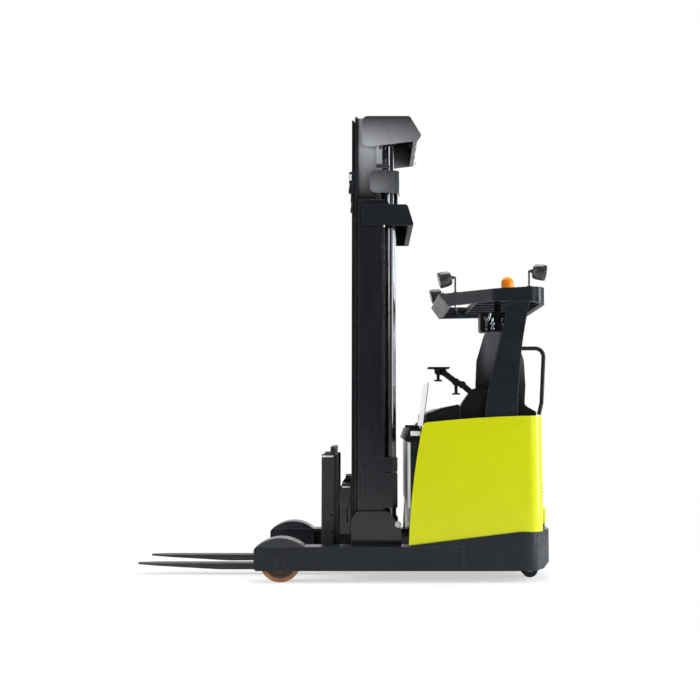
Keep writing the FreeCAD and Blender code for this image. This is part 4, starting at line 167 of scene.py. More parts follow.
floor_material = bpy.data.materials.new("floor")
floor_material.use_nodes = True
tree = floor_material.node_tree
floor_shader = tree.nodes["Principled BSDF"]
floor_shader.inputs["Base Color"].default_value = (0.95, 0.95, 0.95, 1.0)
floor_shader.inputs["Roughness"].default_value = 0.9
floor_shader.inputs["Specular IOR Level"].default_value = 0.1
glow = tree.nodes.new("ShaderNodeEmission")
glow.inputs["Color"].default_value = (1.0, 1.0, 1.0, 1.0)
place = tree.nodes.new("ShaderNodeTexCoord")
mapping = tree.nodes.new("ShaderNodeMapping")
mapping.inputs["Scale"].default_value = (1.0 / SHADOW_REACH[0], 1.0 / SHADOW_REACH[1], 1.0)
nearness = tree.nodes.new("ShaderNodeTexGradient")
nearness.gradient_type = "SPHERICAL"
share = tree.nodes.new("ShaderNodeMapRange")
share.inputs["From Min"].default_value = 0.0
share.inputs["From Max"].default_value = SHADOW_EDGE
share.inputs["To Min"].default_value = 1.0
share.inputs["To Max"].default_value = FLOOR_GLOW
path = tree.nodes.new("ShaderNodeLightPath")
camera_share = tree.nodes.new("ShaderNodeMath")
camera_share.operation = "MULTIPLY"
floor_mix = tree.nodes.new("ShaderNodeMixShader")
tree.links.new(place.outputs["Object"], mapping.inputs["Vector"])
tree.links.new(mapping.outputs["Vector"], nearness.inputs["Vector"])
tree.links.new(nearness.outputs["Fac"], share.inputs["Value"])
tree.links.new(path.outputs["Is Camera Ray"], camera_share.inputs[0])
tree.links.new(share.outputs["Result"], camera_share.inputs[1])
tree.links.new(camera_share.outputs[0], floor_mix.inputs["Fac"])
tree.links.new(floor_shader.outputs[0], floor_mix.inputs[1])
tree.links.new(glow.outputs[0], floor_mix.inputs[2])
tree.links.new(floor_mix.outputs[0], tree.nodes["Material Output"].inputs["Surface"])

floor_mesh = bmesh.new()
bmesh.ops.create_grid(floor_mesh, x_segments=1, y_segments=1, size=FLOOR_SIZE / 2.0)
floor_data = bpy.data.meshes.new("floor")
floor_mesh.to_mesh(floor_data)
floor_mesh.free()
floor = bpy.data.objects.new("floor", floor_data)
floor_data.materials.append(floor_material)
scene.collection.objects.link(floor)
print("floor", FLOOR_SIZE, "m wide")

# %% [markdown]
# ## Lamps
# Large soft lamps: a key high on the front left, a fill from the near rear, one
# above that lights the arched covers and the roof edges, and a tall cool strip at each
# end that draws the bright lines down the rounded corners and the rails' edges.

# %% Lamps
LAMPS = [
    # name, place, aimed at, width, height, power, colour
    ("key", (-3.4, -6.0, 4.2), (0.3, -0.3, 1.4), 3.0, 3.4, 132.0, (1.0, 1.0, 1.0)),
    ("fill", (5.0, -5.4, 2.4), (0.9, -0.4, 1.2), 2.4, 3.2, 95.0, (1.0, 1.0, 1.0)),
    ("top", (0.6, 0.4, 6.2), (0.6, 0.0, 1.0), 4.0, 3.0, 260.0, (1.0, 1.0, 1.0)),
    ("rear strip", (5.0, -0.9, 1.8), (1.4, -0.5, 1.4), 1.1, 3.4, 250.0, (0.84, 0.92, 1.0)),
    ("front strip", (-4.6, -1.6, 2.2), (0.1, -0.3, 1.8), 1.2, 4.0, 150.0, (0.94, 0.97, 1.0)),
    ("back", (2.4, 5.4, 3.6), (0.4, 0.2, 1.4), 3.0, 3.0, 140.0, (1.0, 1.0, 1.0)),
]

for name, place, aim, width, height, power, colour in LAMPS:
    lamp_data = bpy.data.lights.new(name, "AREA")
    lamp_data.shape = "RECTANGLE"
    lamp_data.size = width
    lamp_data.size_y = height
    lamp_data.energy = power
    lamp_data.color = colour
    lamp = bpy.data.objects.new(name, lamp_data)
    lamp.location = place
    lamp.rotation_euler = (Vector(aim) - Vector(place)).to_track_quat("-Z", "Y").to_euler()
    scene.collection.objects.link(lamp)
print(len(LAMPS), "lamps")

# %% [markdown]
# ## Finishes
# Every finish starts the same way: a noise in the object's own coordinates varies the
# colour a little, a second one varies the roughness, and a fine one makes the relief.
# A bevel node rounds the edges for the light only, so hard edges of steel catch it as thin lines, and where
# it turns the surface most a lighter colour is painted in: partly paint wear, partly a painted highlight
# along the edge.

# %% Helper for node trees
def plug(tree, source, socket):
    """Connects an output to an input."""
    tree.links.new(source, socket)


def noise(tree, scale, detail=3.0, stretch=(1.0, 1.0, 1.0)):
    """Noise in the piece's own coordinates; stretch draws it out along an axis."""
    place = tree.nodes.new("ShaderNodeTexCoord")
    mapping = tree.nodes.new("ShaderNodeMapping")
    mapping.inputs["Scale"].default_value = stretch
    texture = tree.nodes.new("ShaderNodeTexNoise")
    texture.inputs["Scale"].default_value = scale
    texture.inputs["Detail"].default_value = detail
    plug(tree, place.outputs["Object"], mapping.inputs["Vector"])
    plug(tree, mapping.outputs["Vector"], texture.inputs["Vector"])
    return texture.outputs["Fac"]


def ranged(tree, value, low, high, from_low=0.3, from_high=0.7):
    """Maps a noise or another value onto a range of numbers."""
    spread = tree.nodes.new("ShaderNodeMapRange")
    spread.inputs["From Min"].default_value = from_low
    spread.inputs["From Max"].default_value = from_high
    spread.inputs["To Min"].default_value = low
    spread.inputs["To Max"].default_value = high
    plug(tree, value, spread.inputs["Value"])
    return spread.outputs["Result"]


def blended(tree, share, first, second):
    """Colour between two, by a share from 0 to 1; either may be a socket."""
    mix = tree.nodes.new("ShaderNodeMix")
    mix.data_type = "RGBA"
    plug(tree, share, mix.inputs["Factor"])
    for socket, colour in ((mix.inputs["A"], first), (mix.inputs["B"], second)):
        if isinstance(colour, tuple):
            socket.default_value = (*colour, 1.0)
        else:
            plug(tree, colour, socket)
    return mix.outputs["Result"]


def edge_share(tree, rounded):
    """Near 1 where the rounded normal leaves the face's own, so at sharp edges."""
    face = tree.nodes.new("ShaderNodeNewGeometry")
    dot = tree.nodes.new("ShaderNodeVectorMath")
    dot.operation = "DOT_PRODUCT"
    plug(tree, face.outputs["Normal"], dot.inputs[0])
    plug(tree, rounded, dot.inputs[1])
    return ranged(tree, dot.outputs["Value"], 1.0, 0.0, 0.86, 0.99)


def shaded(colour, factor):
    """The colour made darker or lighter."""
    return tuple(min(1.0, part * factor) for part in colour)


def finish(name, colour, spread=0.12, patch=6.0, rough=0.45, rough_spread=0.1, grain=900.0,
           relief=0.05, edge=0.002, edge_wear_and_highlight=None, specular=0.5, metallic=0.0, coat=0.0,
           stretch=(1.0, 1.0, 1.0)):
    """A finish whose colour, roughness and relief vary as on a real surface."""
    material = bpy.data.materials.new(name)
    material.use_nodes = True
    tree = material.node_tree
    shader = tree.nodes["Principled BSDF"]
    shader.inputs["Metallic"].default_value = metallic
    shader.inputs["Specular IOR Level"].default_value = specular
    shader.inputs["Coat Weight"].default_value = coat
    shader.inputs["Coat Roughness"].default_value = 0.12
    cloudy = noise(tree, patch, 4.0, stretch)
    base = blended(tree, ranged(tree, cloudy, 0.0, 1.0), shaded(colour, 1.0 - spread),
                   shaded(colour, 1.0 + spread))
    bump = tree.nodes.new("ShaderNodeBump")
    bump.inputs["Strength"].default_value = relief
    bump.inputs["Distance"].default_value = 0.001
    plug(tree, noise(tree, grain, 2.0, stretch), bump.inputs["Height"])
    if edge:
        rounded = tree.nodes.new("ShaderNodeBevel")
        rounded.samples = 4
        rounded.inputs["Radius"].default_value = edge
        plug(tree, rounded.outputs["Normal"], bump.inputs["Normal"])
        # Lighter colour at sharp edges: partly paint wear, partly a painted highlight.
        if edge_wear_and_highlight:
            share = edge_share(tree, rounded.outputs["Normal"])
            base = blended(tree, share, base, edge_wear_and_highlight)
    plug(tree, base, shader.inputs["Base Color"])
    plug(tree, ranged(tree, noise(tree, patch * 2.5, 4.0, stretch), rough - rough_spread,
                      rough + rough_spread), shader.inputs["Roughness"])
    plug(tree, bump.outputs["Normal"], shader.inputs["Normal"])
    return material


print("helpers for finishes ready")

# %% [markdown]
# The truck's steel is powder coated, charcoal on the frame, mast and guard and a strong
# yellow-green on the body.  Powder coat has a fine orange peel and a soft gloss.  The
# mast sections keep faint drawing marks along their length under the paint.

# %% Paints
CHARCOAL = (0.0125, 0.0145, 0.0185)
YELLOW = (0.53, 0.565, 0.004)

PAINTS = {
    "charcoal_paint": finish("charcoal_paint", CHARCOAL, rough=0.3, specular=0.1, edge_wear_and_highlight=(0.06, 0.063, 0.07),
                             edge=0.006, relief=0.05, coat=0.12),
    "cover_paint": finish("cover_paint", shaded(CHARCOAL, 1.3), rough=0.3, specular=0.45,
                          edge_wear_and_highlight=(0.11, 0.115, 0.12), edge=0.004, relief=0.08),
    "yellow_paint": finish("yellow_paint", YELLOW, spread=0.02, patch=2.0, rough=0.3, rough_spread=0.04,
                           specular=0.1, edge_wear_and_highlight=(0.66, 0.72, 0.03), edge=0.006, relief=0.03, coat=0.3),
    "mast_steel": finish("mast_steel", (0.0115, 0.012, 0.015), spread=0.2, patch=5.0, rough=0.27,
                         specular=0.2, edge_wear_and_highlight=(0.07, 0.07, 0.075), edge=0.007, relief=0.05,
                         stretch=(1.0, 1.0, 0.15), coat=0.6),
    "fork_steel": finish("fork_steel", (0.016, 0.016, 0.019), spread=0.25, patch=9.0, rough=0.46,
                         specular=0.4, edge_wear_and_highlight=(0.16, 0.16, 0.165), edge=0.003, relief=0.15, grain=500.0),
    "pale_panel": finish("pale_panel", (0.6, 0.6, 0.61), spread=0.04, rough=0.4, edge_wear_and_highlight=(0.8, 0.8, 0.8)),
}
print("paints:", ", ".join(PAINTS))

# %% [markdown]
# Bare metal is the ground and chromed cylinder rod, the machined pins and the cast
# wheel centres.  A metal's colour is its reflection, so these have metallic at one and
# fine marks drawn out along the part instead of a strong colour pattern.

# %% Metals
METALS = {
    "bright_steel": finish("bright_steel", (0.22, 0.23, 0.26), spread=0.05, patch=20.0, rough=0.16,
                           rough_spread=0.04, metallic=1.0, relief=0.03, stretch=(1.0, 1.0, 0.05)),
    "grey_steel": finish("grey_steel", (0.16, 0.16, 0.17), spread=0.15, patch=30.0, rough=0.38,
                         metallic=1.0, relief=0.1),
    "wheel_metal": finish("wheel_metal", (0.09, 0.055, 0.035), spread=0.2, patch=30.0, rough=0.5,
                          metallic=0.6, relief=0.25, grain=400.0, edge_wear_and_highlight=(0.2, 0.12, 0.07)),
}
print("metals:", ", ".join(METALS))

# %% [markdown]
# The load wheels have tyres of cast polyurethane, orange-brown and slightly waxy, with
# darker scuffed treads.  Rubber and the moulded plastic of the covers are near black,
# and a coarser grain keeps them duller than the paint beside them.

# %% Rubber and plastics
MOULDINGS = {
    "polyurethane": finish("polyurethane", (0.26, 0.105, 0.03), spread=0.25, patch=14.0, rough=0.42,
                           specular=0.5, relief=0.12, grain=300.0, edge_wear_and_highlight=(0.42, 0.2, 0.07), edge=0.004),
    "black_rubber": finish("black_rubber", (0.018, 0.018, 0.018), spread=0.2, patch=20.0, rough=0.7,
                           specular=0.25, relief=0.3, grain=600.0),
    "black_plastic": finish("black_plastic", (0.006, 0.0062, 0.0068), spread=0.15, patch=9.0, rough=0.4,
                            specular=0.1, relief=0.3, grain=700.0, edge=0.004),
    "lamp_body": finish("lamp_body", (0.03, 0.031, 0.034), spread=0.1, patch=20.0, rough=0.32,
                        specular=0.25, relief=0.02, edge=0.002, coat=0.3),
    "shell_plastic": finish("shell_plastic", (0.085, 0.086, 0.095), spread=0.06, patch=9.0, rough=0.5,
                            specular=0.4, relief=0.3, grain=700.0, edge=0.004),
}
print("mouldings:", ", ".join(MOULDINGS))

# %% [markdown]
# The beacon's lens is amber plastic with fine ribs.  A little transmission lets some
# light through, and a wave texture across the dome makes the ribs.

# %% Beacon lens
def amber_lens():
    """Amber plastic that lets a little light through."""
    material = bpy.data.materials.new("beacon_amber")
    material.use_nodes = True
    tree = material.node_tree
    shader = tree.nodes["Principled BSDF"]
    shader.inputs["Transmission Weight"].default_value = 0.04
    shader.inputs["IOR"].default_value = 1.45
    shader.inputs["Roughness"].default_value = 0.3
    shader.inputs["Specular IOR Level"].default_value = 0.2
    shade = ranged(tree, noise(tree, 30.0, 2.0), 0.0, 1.0)
    plug(tree, blended(tree, shade, (0.82, 0.2, 0.003), (0.95, 0.28, 0.006)), shader.inputs["Base Color"])
    place = tree.nodes.new("ShaderNodeTexCoord")
    wave = tree.nodes.new("ShaderNodeTexWave")
    wave.inputs["Scale"].default_value = 60.0
    bump = tree.nodes.new("ShaderNodeBump")
    bump.inputs["Strength"].default_value = 0.3
    bump.inputs["Distance"].default_value = 0.001
    plug(tree, place.outputs["Object"], wave.inputs["Vector"])
    plug(tree, wave.outputs["Fac"], bump.inputs["Height"])
    plug(tree, bump.outputs["Normal"], shader.inputs["Normal"])
    return material


beacon_amber = amber_lens()
print("beacon lens ready")

# %% [markdown]
# The low screen on the battery's lid and the glass of the lamps are clear.  The sheet is
# a little grey, and a very weak noise in its roughness keeps it from looking like air.

# %% Clear sheet and lamp glass
def clear_material(name, colour, rough):
    """Clear plastic or glass with a slight tint."""
    material = bpy.data.materials.new(name)
    material.use_nodes = True
    tree = material.node_tree
    shader = tree.nodes["Principled BSDF"]
    shader.inputs["Transmission Weight"].default_value = 1.0
    shader.inputs["IOR"].default_value = 1.3
    plug(tree, blended(tree, ranged(tree, noise(tree, 3.0), 0.0, 1.0), shaded(colour, 0.98), colour),
         shader.inputs["Base Color"])
    plug(tree, ranged(tree, noise(tree, 12.0), rough, rough * 2.0), shader.inputs["Roughness"])
    return material


clear_sheet = clear_material("clear_sheet", (0.7, 0.705, 0.71), 0.02)
print("clear plastics ready")

# %% [markdown]
# The seat's cover is a woven black cloth.  Two wave textures at right angles make the
# over and under of the threads, and sheen gives the soft light edge of fabric.

# %% Seat fabric
def woven_cloth():
    """Black woven seat cloth."""
    material = finish("seat_fabric", (0.02, 0.02, 0.022), spread=0.25, patch=25.0, rough=0.85,
                      rough_spread=0.05, specular=0.2, relief=0.4, grain=1500.0, edge=0.0)
    tree = material.node_tree
    shader = tree.nodes["Principled BSDF"]
    shader.inputs["Sheen Weight"].default_value = 0.25
    shader.inputs["Sheen Roughness"].default_value = 0.4
    place = tree.nodes.new("ShaderNodeTexCoord")
    threads = []
    for axis in ("X", "Z"):
        wave = tree.nodes.new("ShaderNodeTexWave")
        wave.bands_direction = axis
        wave.inputs["Scale"].default_value = 260.0
        wave.inputs["Distortion"].default_value = 0.6
        plug(tree, place.outputs["Object"], wave.inputs["Vector"])
        threads.append(wave.outputs["Fac"])
    both = tree.nodes.new("ShaderNodeMath")
    both.operation = "MULTIPLY"
    plug(tree, threads[0], both.inputs[0])
    plug(tree, threads[1], both.inputs[1])
    weave = tree.nodes.new("ShaderNodeBump")
    weave.inputs["Strength"].default_value = 0.5
    weave.inputs["Distance"].default_value = 0.001
    plug(tree, both.outputs[0], weave.inputs["Height"])
    plug(tree, weave.outputs["Normal"], shader.inputs["Normal"])
    return material


seat_fabric = woven_cloth()
print("seat fabric ready")

# %% [markdown]
# The sheet steel high on the mast mirrors the bright ceiling of the studio, and looks lighter there.  This
# reflection is painted into the colour: a share worked out from the place on the piece and from the way the
# face looks blends a paler tone in, on the side faces alone.  The rod clamps, the top cover and the moulded
# shell of the seat get painted highlights in the same way.

# %% Painted reflection high on the mast
def paint_in_reflection(material, reflection_tone, high_from, high_to, along=None):
    """Paints a paler tone, a painted reflection, into side faces, changing with height and along the part."""
    tree = material.node_tree
    shader = tree.nodes["Principled BSDF"]
    base = shader.inputs["Base Color"].links[0].from_socket
    place = tree.nodes.new("ShaderNodeTexCoord")
    parts = tree.nodes.new("ShaderNodeSeparateXYZ")
    plug(tree, place.outputs["Object"], parts.inputs[0])
    face = tree.nodes.new("ShaderNodeNewGeometry")
    looks = tree.nodes.new("ShaderNodeSeparateXYZ")
    plug(tree, face.outputs["Normal"], looks.inputs[0])
    toward = tree.nodes.new("ShaderNodeMath")
    toward.operation = "ABSOLUTE"
    plug(tree, looks.outputs["Y"], toward.inputs[0])
    share = tree.nodes.new("ShaderNodeMath")
    share.operation = "MULTIPLY"
    plug(tree, ranged(tree, parts.outputs["Z"], 0.0, 1.0, high_from, high_to), share.inputs[0])
    plug(tree, ranged(tree, toward.outputs[0], 0.0, 1.0, 0.85, 0.97), share.inputs[1])
    reflection_share = share.outputs[0]
    if along:
        fade = tree.nodes.new("ShaderNodeMath")
        fade.operation = "MULTIPLY"
        plug(tree, reflection_share, fade.inputs[0])
        plug(tree, ranged(tree, parts.outputs["X"], *along), fade.inputs[1])
        reflection_share = fade.outputs[0]
    plug(tree, blended(tree, reflection_share, base, reflection_tone), shader.inputs["Base Color"])
    return material


# Painted reflection: paler grey high on the middle and inner stages' side faces, not on the front flanges.
stage_steel = paint_in_reflection(finish("stage_steel", (0.0115, 0.012, 0.015), spread=0.2, patch=5.0, rough=0.27,
                                specular=0.32, edge_wear_and_highlight=(0.06, 0.06, 0.065), edge=0.005, relief=0.05,
                                stretch=(1.0, 1.0, 0.15)), (0.42, 0.43, 0.45), 2.83, 3.2,
                         (0.0, 1.0, 0.12, 0.13))
# Painted highlight on the rod clamps: paler lower down and towards the front, with a pale rim painted along
# the edges.
cover_painted_sheen = paint_in_reflection(finish("cover_painted_sheen", (0.03, 0.031, 0.034), rough=0.3, specular=0.4, edge=0.004,
                                edge_wear_and_highlight=(0.3, 0.31, 0.32), relief=0.08), (0.17, 0.175, 0.18), 3.06, 2.9,
                         (1.0, 0.35, 0.26, 0.4))
# Painted reflection of the floor: the top cover's side panels turn paler towards their bottom and front.
top_sheet = paint_in_reflection(finish("top_sheet", (0.04, 0.041, 0.044), rough=0.34, specular=0.2, edge=0.0015,
                              relief=0.04), (0.36, 0.365, 0.38), 3.44, 3.24, (1.0, 0.4, 0.2, 0.6))
barrel_paint = finish("barrel_paint", (0.2, 0.2, 0.21), spread=0.1, patch=10.0, rough=0.22, rough_spread=0.04,
                      metallic=1.0, relief=0.04, stretch=(1.0, 1.0, 0.1))
# Painted highlight on the seat's shell: paler towards its top and towards the drive end.
shell_painted_sheen = paint_in_reflection(finish("shell_painted_sheen", (0.014, 0.0142, 0.0155), spread=0.1, rough=0.45, specular=0.2,
                                edge=0.004, relief=0.2), (0.095, 0.097, 0.105), 1.42, 1.62,
                         (0.0, 1.0, 1.02, 1.07))
# Painted light: a lighter copy of the charcoal stands for the floor's light on the lower flange's underside.
flange_painted_light = finish("flange_painted_light", (0.075, 0.077, 0.08), spread=0.1, rough=0.5, specular=0.1, edge=0.0)
print("satin tones ready")

# %% [markdown]
# ## Dress the solids
# Each solid carries a slot from the record, and the slot's name is the finish's name.
# A few solids get a finish of their own in its place.

# %% Assign the finishes
FINISHES = {**PAINTS, **METALS, **MOULDINGS, "beacon_amber": beacon_amber, "seat_fabric": seat_fabric,
            "clear_sheet": clear_sheet}
NODE_FINISHES = {"seat_shell": shell_painted_sheen, "inner_mast": stage_steel, "middle_mast": stage_steel,
                 "rod_clamps": cover_painted_sheen, "lift_barrels": barrel_paint,
                 "load_axles": PAINTS["charcoal_paint"], "flange_clips": PAINTS["charcoal_paint"]}
slot_of = {part["node"]: part["material_slot"] for part in frame["record"]["subparts"]}

for node, piece in frame["nodes"].items():
    for holder in piece.material_slots:
        holder.material = NODE_FINISHES.get(node, FINISHES[slot_of[node]])
print(len(slot_of), "solids dressed")

# %% [markdown]
# ## Helper for new pieces
# A new piece is modelled in a bmesh at its real place.  This helper merges doubles,
# turns the faces outwards, shades them smooth up to an angle, and ties the piece to
# its body and its finish.

# %% Helper for new pieces
def made_piece(mesh, name, body, slot, smooth=30.0, own_finish=None):
    """Object from a bmesh, dressed and riding on a body."""
    bmesh.ops.remove_doubles(mesh, verts=mesh.verts, dist=1e-6)
    bmesh.ops.recalc_face_normals(mesh, faces=mesh.faces)
    data = bpy.data.meshes.new(name)
    mesh.to_mesh(data)
    mesh.free()
    data.materials.append(own_finish or FINISHES[slot])
    data.shade_smooth()
    data.set_sharp_from_angle(angle=math.radians(smooth))
    piece = bpy.data.objects.new(name, data)
    scene.collection.objects.link(piece)
    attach(piece, body)
    return piece


print("new pieces can be made")

# %% [markdown]
# ## Seat
# The seat's cushion and back are foam under cloth.  A box with rounded corners is cut
# into a fine even mesh, and a short cloth simulation with pressure inside swells it, so
# that the faces crown and the sides pull in between the corners.  The seams are pressed
# in afterwards, because the even mesh would lose them.

# %% Padded shapes
PAD_VOXEL = 0.008
PAD_START_INSET = 0.012
PAD_SWELL_LIMIT = 0.012
PAD_FRAMES = 16
SEAM_DEPTH = 0.007
SEAM_WIDTH = 0.006


def pad_block(low, high, inset, corner):
    """Bmesh of a box between two corners, drawn in, with its edges rounded."""
    mesh = bmesh.new()
    bmesh.ops.create_cube(mesh, size=1.0)
    size = high - low - Vector((inset, inset, inset)) * 2.0
    bmesh.ops.scale(mesh, vec=size, verts=mesh.verts)
    bmesh.ops.translate(mesh, vec=(low + high) / 2.0, verts=mesh.verts)
    bmesh.ops.bevel(mesh, geom=list(mesh.edges), offset=corner, segments=4, profile=0.5,
                    affect="EDGES", material=-1)
    return mesh


def swell(piece):
    """Short cloth simulation with pressure inside, each point's way capped."""
    remesh = piece.modifiers.new("even mesh", "REMESH")
    remesh.mode = "VOXEL"
    remesh.voxel_size = PAD_VOXEL
    bpy.context.view_layer.objects.active = piece
    bpy.ops.object.modifier_apply(modifier=remesh.name)
    start = [vertex.co.copy() for vertex in piece.data.vertices]
    cloth = piece.modifiers.new("cloth", "CLOTH")
    cloth.settings.use_pressure = True
    cloth.settings.uniform_pressure_force = 4.0
    cloth.settings.effector_weights.gravity = 0.0
    for step in range(1, PAD_FRAMES + 1):
        scene.frame_set(step)
    bpy.ops.object.modifier_apply(modifier=cloth.name)
    scene.frame_set(1)
    for vertex, origin in zip(piece.data.vertices, start):
        moved = vertex.co - origin
        if moved.length > PAD_SWELL_LIMIT:
            vertex.co = origin + moved.normalized() * PAD_SWELL_LIMIT


def press_seam(piece, distance):
    """Presses a sewn line in where the distance function is near zero."""
    normals = [vertex.normal.copy() for vertex in piece.data.vertices]
    for vertex, normal in zip(piece.data.vertices, normals):
        near = math.exp(-(distance(vertex.co) / SEAM_WIDTH) ** 2)
        vertex.co -= normal * SEAM_DEPTH * near


print("pads: voxel", PAD_VOXEL, "m, swell up to", PAD_SWELL_LIMIT, "m")

# %% [markdown]
# The cushion is a square pad with one seam a hand's width in from its edge.

# %% Seat cushion
cushion_low, cushion_high = (Vector(corner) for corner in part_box("seat_cushion"))
cushion_mesh = pad_block(cushion_low, cushion_high, PAD_START_INSET, 0.03)
seat_cushion_pad = made_piece(cushion_mesh, "seat_cushion_pad", "chassis", "seat_fabric", 60.0)
swell(seat_cushion_pad)
cushion_middle = (cushion_low + cushion_high) / 2.0
CUSHION_SEAM_INSET = 0.07
seam_half = (cushion_high - cushion_low) / 2.0 - Vector((CUSHION_SEAM_INSET, CUSHION_SEAM_INSET, 0.0))


def cushion_seam(point):
    """Distance from the seam, a rounded square on the cushion's top."""
    if point.z < cushion_middle.z:
        return 1.0
    across = abs(point.x - cushion_middle.x) - seam_half.x
    along = abs(point.y - cushion_middle.y) - seam_half.y
    return max(across, along)


press_seam(seat_cushion_pad, cushion_seam)
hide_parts("seat_cushion")
print("cushion", len(seat_cushion_pad.data.vertices), "points")

# %% [markdown]
# The back is taller and narrows towards its top, with two upright seams beside the
# middle panel.  It is the same pad, drawn in with height before it swells.

# %% Seat back
back_low, back_high = (Vector(corner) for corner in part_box("seat_back"))
back_mesh = pad_block(back_low, back_high, PAD_START_INSET, 0.032)
back_middle = (back_low + back_high) / 2.0
BACK_TOP_SHARE = 0.62
BACK_WAIST = 1.4

bmesh.ops.subdivide_edges(back_mesh, edges=[e for e in back_mesh.edges if e.calc_length() > 0.3],
                          cuts=8, use_grid_fill=True)
for vertex in back_mesh.verts:
    rise = max(0.0, (vertex.co.z - BACK_WAIST) / (back_high.z - BACK_WAIST))
    narrowing = 1.0 - (1.0 - BACK_TOP_SHARE) * rise ** 1.6
    vertex.co.x = back_middle.x + (vertex.co.x - back_middle.x) * narrowing
seat_back_pad = made_piece(back_mesh, "seat_back_pad", "chassis", "seat_fabric", 60.0)
swell(seat_back_pad)
BACK_SEAM_SIDE = 0.085


def back_seam(point):
    """Distance from the two upright seams of the middle panel."""
    if point.y < back_middle.y:
        return 1.0
    return abs(abs(point.x - back_middle.x) - BACK_SEAM_SIDE)


press_seam(seat_back_pad, back_seam)
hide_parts("seat_back")
print("back", len(seat_back_pad.data.vertices), "points")

# %% [markdown]
# ## Chains
# A leaf chain is a stack of link plates on pins.  The solid model shows each chain as a
# plain strip, and these pieces take its place.  A chain runs over a sheave that moves at
# half the load's speed, so each one is made in four parts: the half turn on the sheave,
# the run that shortens, and the run that grows.  The growing run is two strands in the
# same place, one left behind and one that goes up with the sheave.

# %% Links of a chain
CHAIN_PITCH = 0.038
CHAIN_WIDTH = 0.026
CHAIN_THICKNESS = 0.012
PLATE_THICKNESS = 0.0036
PIN_RADIUS = 0.0032
CHAIN_SLIM = 0.0002
PLATE_SIDES = ((-0.0112, -0.0037, 0.0037, 0.0112), (-0.0075, 0.0, 0.0075))
STRAND_OVERLAP = 0.006
FREE_ANCHOR = 0.723


def box(mesh, low, high, turn=None, bevel=0.0):
    """Adds a box between two corners, turned by a matrix and with bevelled edges."""
    size = Vector(high) - Vector(low)
    middle = (Vector(high) + Vector(low)) / 2.0
    place = Matrix.Translation(middle) @ Matrix.Diagonal((*size, 1.0))
    made = bmesh.ops.create_cube(mesh, size=1.0, matrix=(turn or Matrix.Identity(4)) @ place)
    if bevel:
        edges = {edge for vertex in made["verts"] for edge in vertex.link_edges}
        bmesh.ops.bevel(mesh, geom=list(edges), offset=bevel, segments=2, profile=0.5, affect="EDGES",
                        material=-1, clamp_overlap=True)


def rod(mesh, start, end, radius, sides=16, end_radius=None):
    """Adds a round bar from one point to another."""
    along = Vector(end) - Vector(start)
    place = Matrix.Translation((Vector(end) + Vector(start)) / 2.0)
    turn = along.to_track_quat("Z", "Y").to_matrix().to_4x4()
    bmesh.ops.create_cone(mesh, cap_ends=True, segments=sides, radius1=radius,
                          radius2=radius if end_radius is None else end_radius,
                          depth=along.length, matrix=place @ turn)


def chain_run(mesh, x, y, low, high, slim=0.0):
    """Adds an upright run of chain at x and y, from one height to another."""
    count = max(2, round((high - low) / CHAIN_PITCH))
    pitch = (high - low) / count
    half = CHAIN_THICKNESS / 2.0 - slim
    for link in range(count):
        middle = low + (link + 0.5) * pitch
        bottom = max(low, middle - pitch * 0.7)
        top = min(high, middle + pitch * 0.7)
        for side in PLATE_SIDES[link % 2]:
            wide = (PLATE_THICKNESS - slim) / 2.0
            box(mesh, (x - half, y + side - wide, bottom), (x + half, y + side + wide, top))
        pin = middle + pitch / 2.0
        if pin < high - PIN_RADIUS:
            reach = CHAIN_WIDTH / 2.0 - slim
            rod(mesh, (x, y - reach, pin), (x, y + reach, pin), PIN_RADIUS, 8)


def chain_turn(mesh, x, y, height, radius):
    """Adds the half turn of chain over a sheave whose axle is at x and height."""
    middle_radius = radius + CHAIN_THICKNESS / 2.0
    count = max(4, round(math.pi * middle_radius / CHAIN_PITCH))
    pitch = math.pi * middle_radius / count
    half = CHAIN_THICKNESS / 2.0 - CHAIN_SLIM
    for link in range(count):
        angle = math.pi * (link + 0.5) / count
        turn = (Matrix.Translation((x, y, height)) @ Matrix.Rotation(-angle, 4, "Y")
                @ Matrix.Translation((-middle_radius, 0.0, 0.0)))
        for side in PLATE_SIDES[link % 2]:
            wide = PLATE_THICKNESS / 2.0
            box(mesh, (-half, side - wide, -pitch * 0.62), (half, side + wide, pitch * 0.62), turn)


print("chain pitch", CHAIN_PITCH, "m")

# %% [markdown]
# The sizes of each chain are read back from the solid strips, so the links follow the
# solid model if it is ever changed.

# %% Chains
CHAINS = [
    # strip, body of the sheave, body left behind, joint, share left, low end of the rear run
    ("mast_chains", "middle_stage", "reach_carriage", "mast_lift", 928.0 / 3028.0, 1.290),
    ("free_chains", "free_lift_head", "inner_stage", "carriage_lift", 5.0 / 1127.0, 0.640),
]

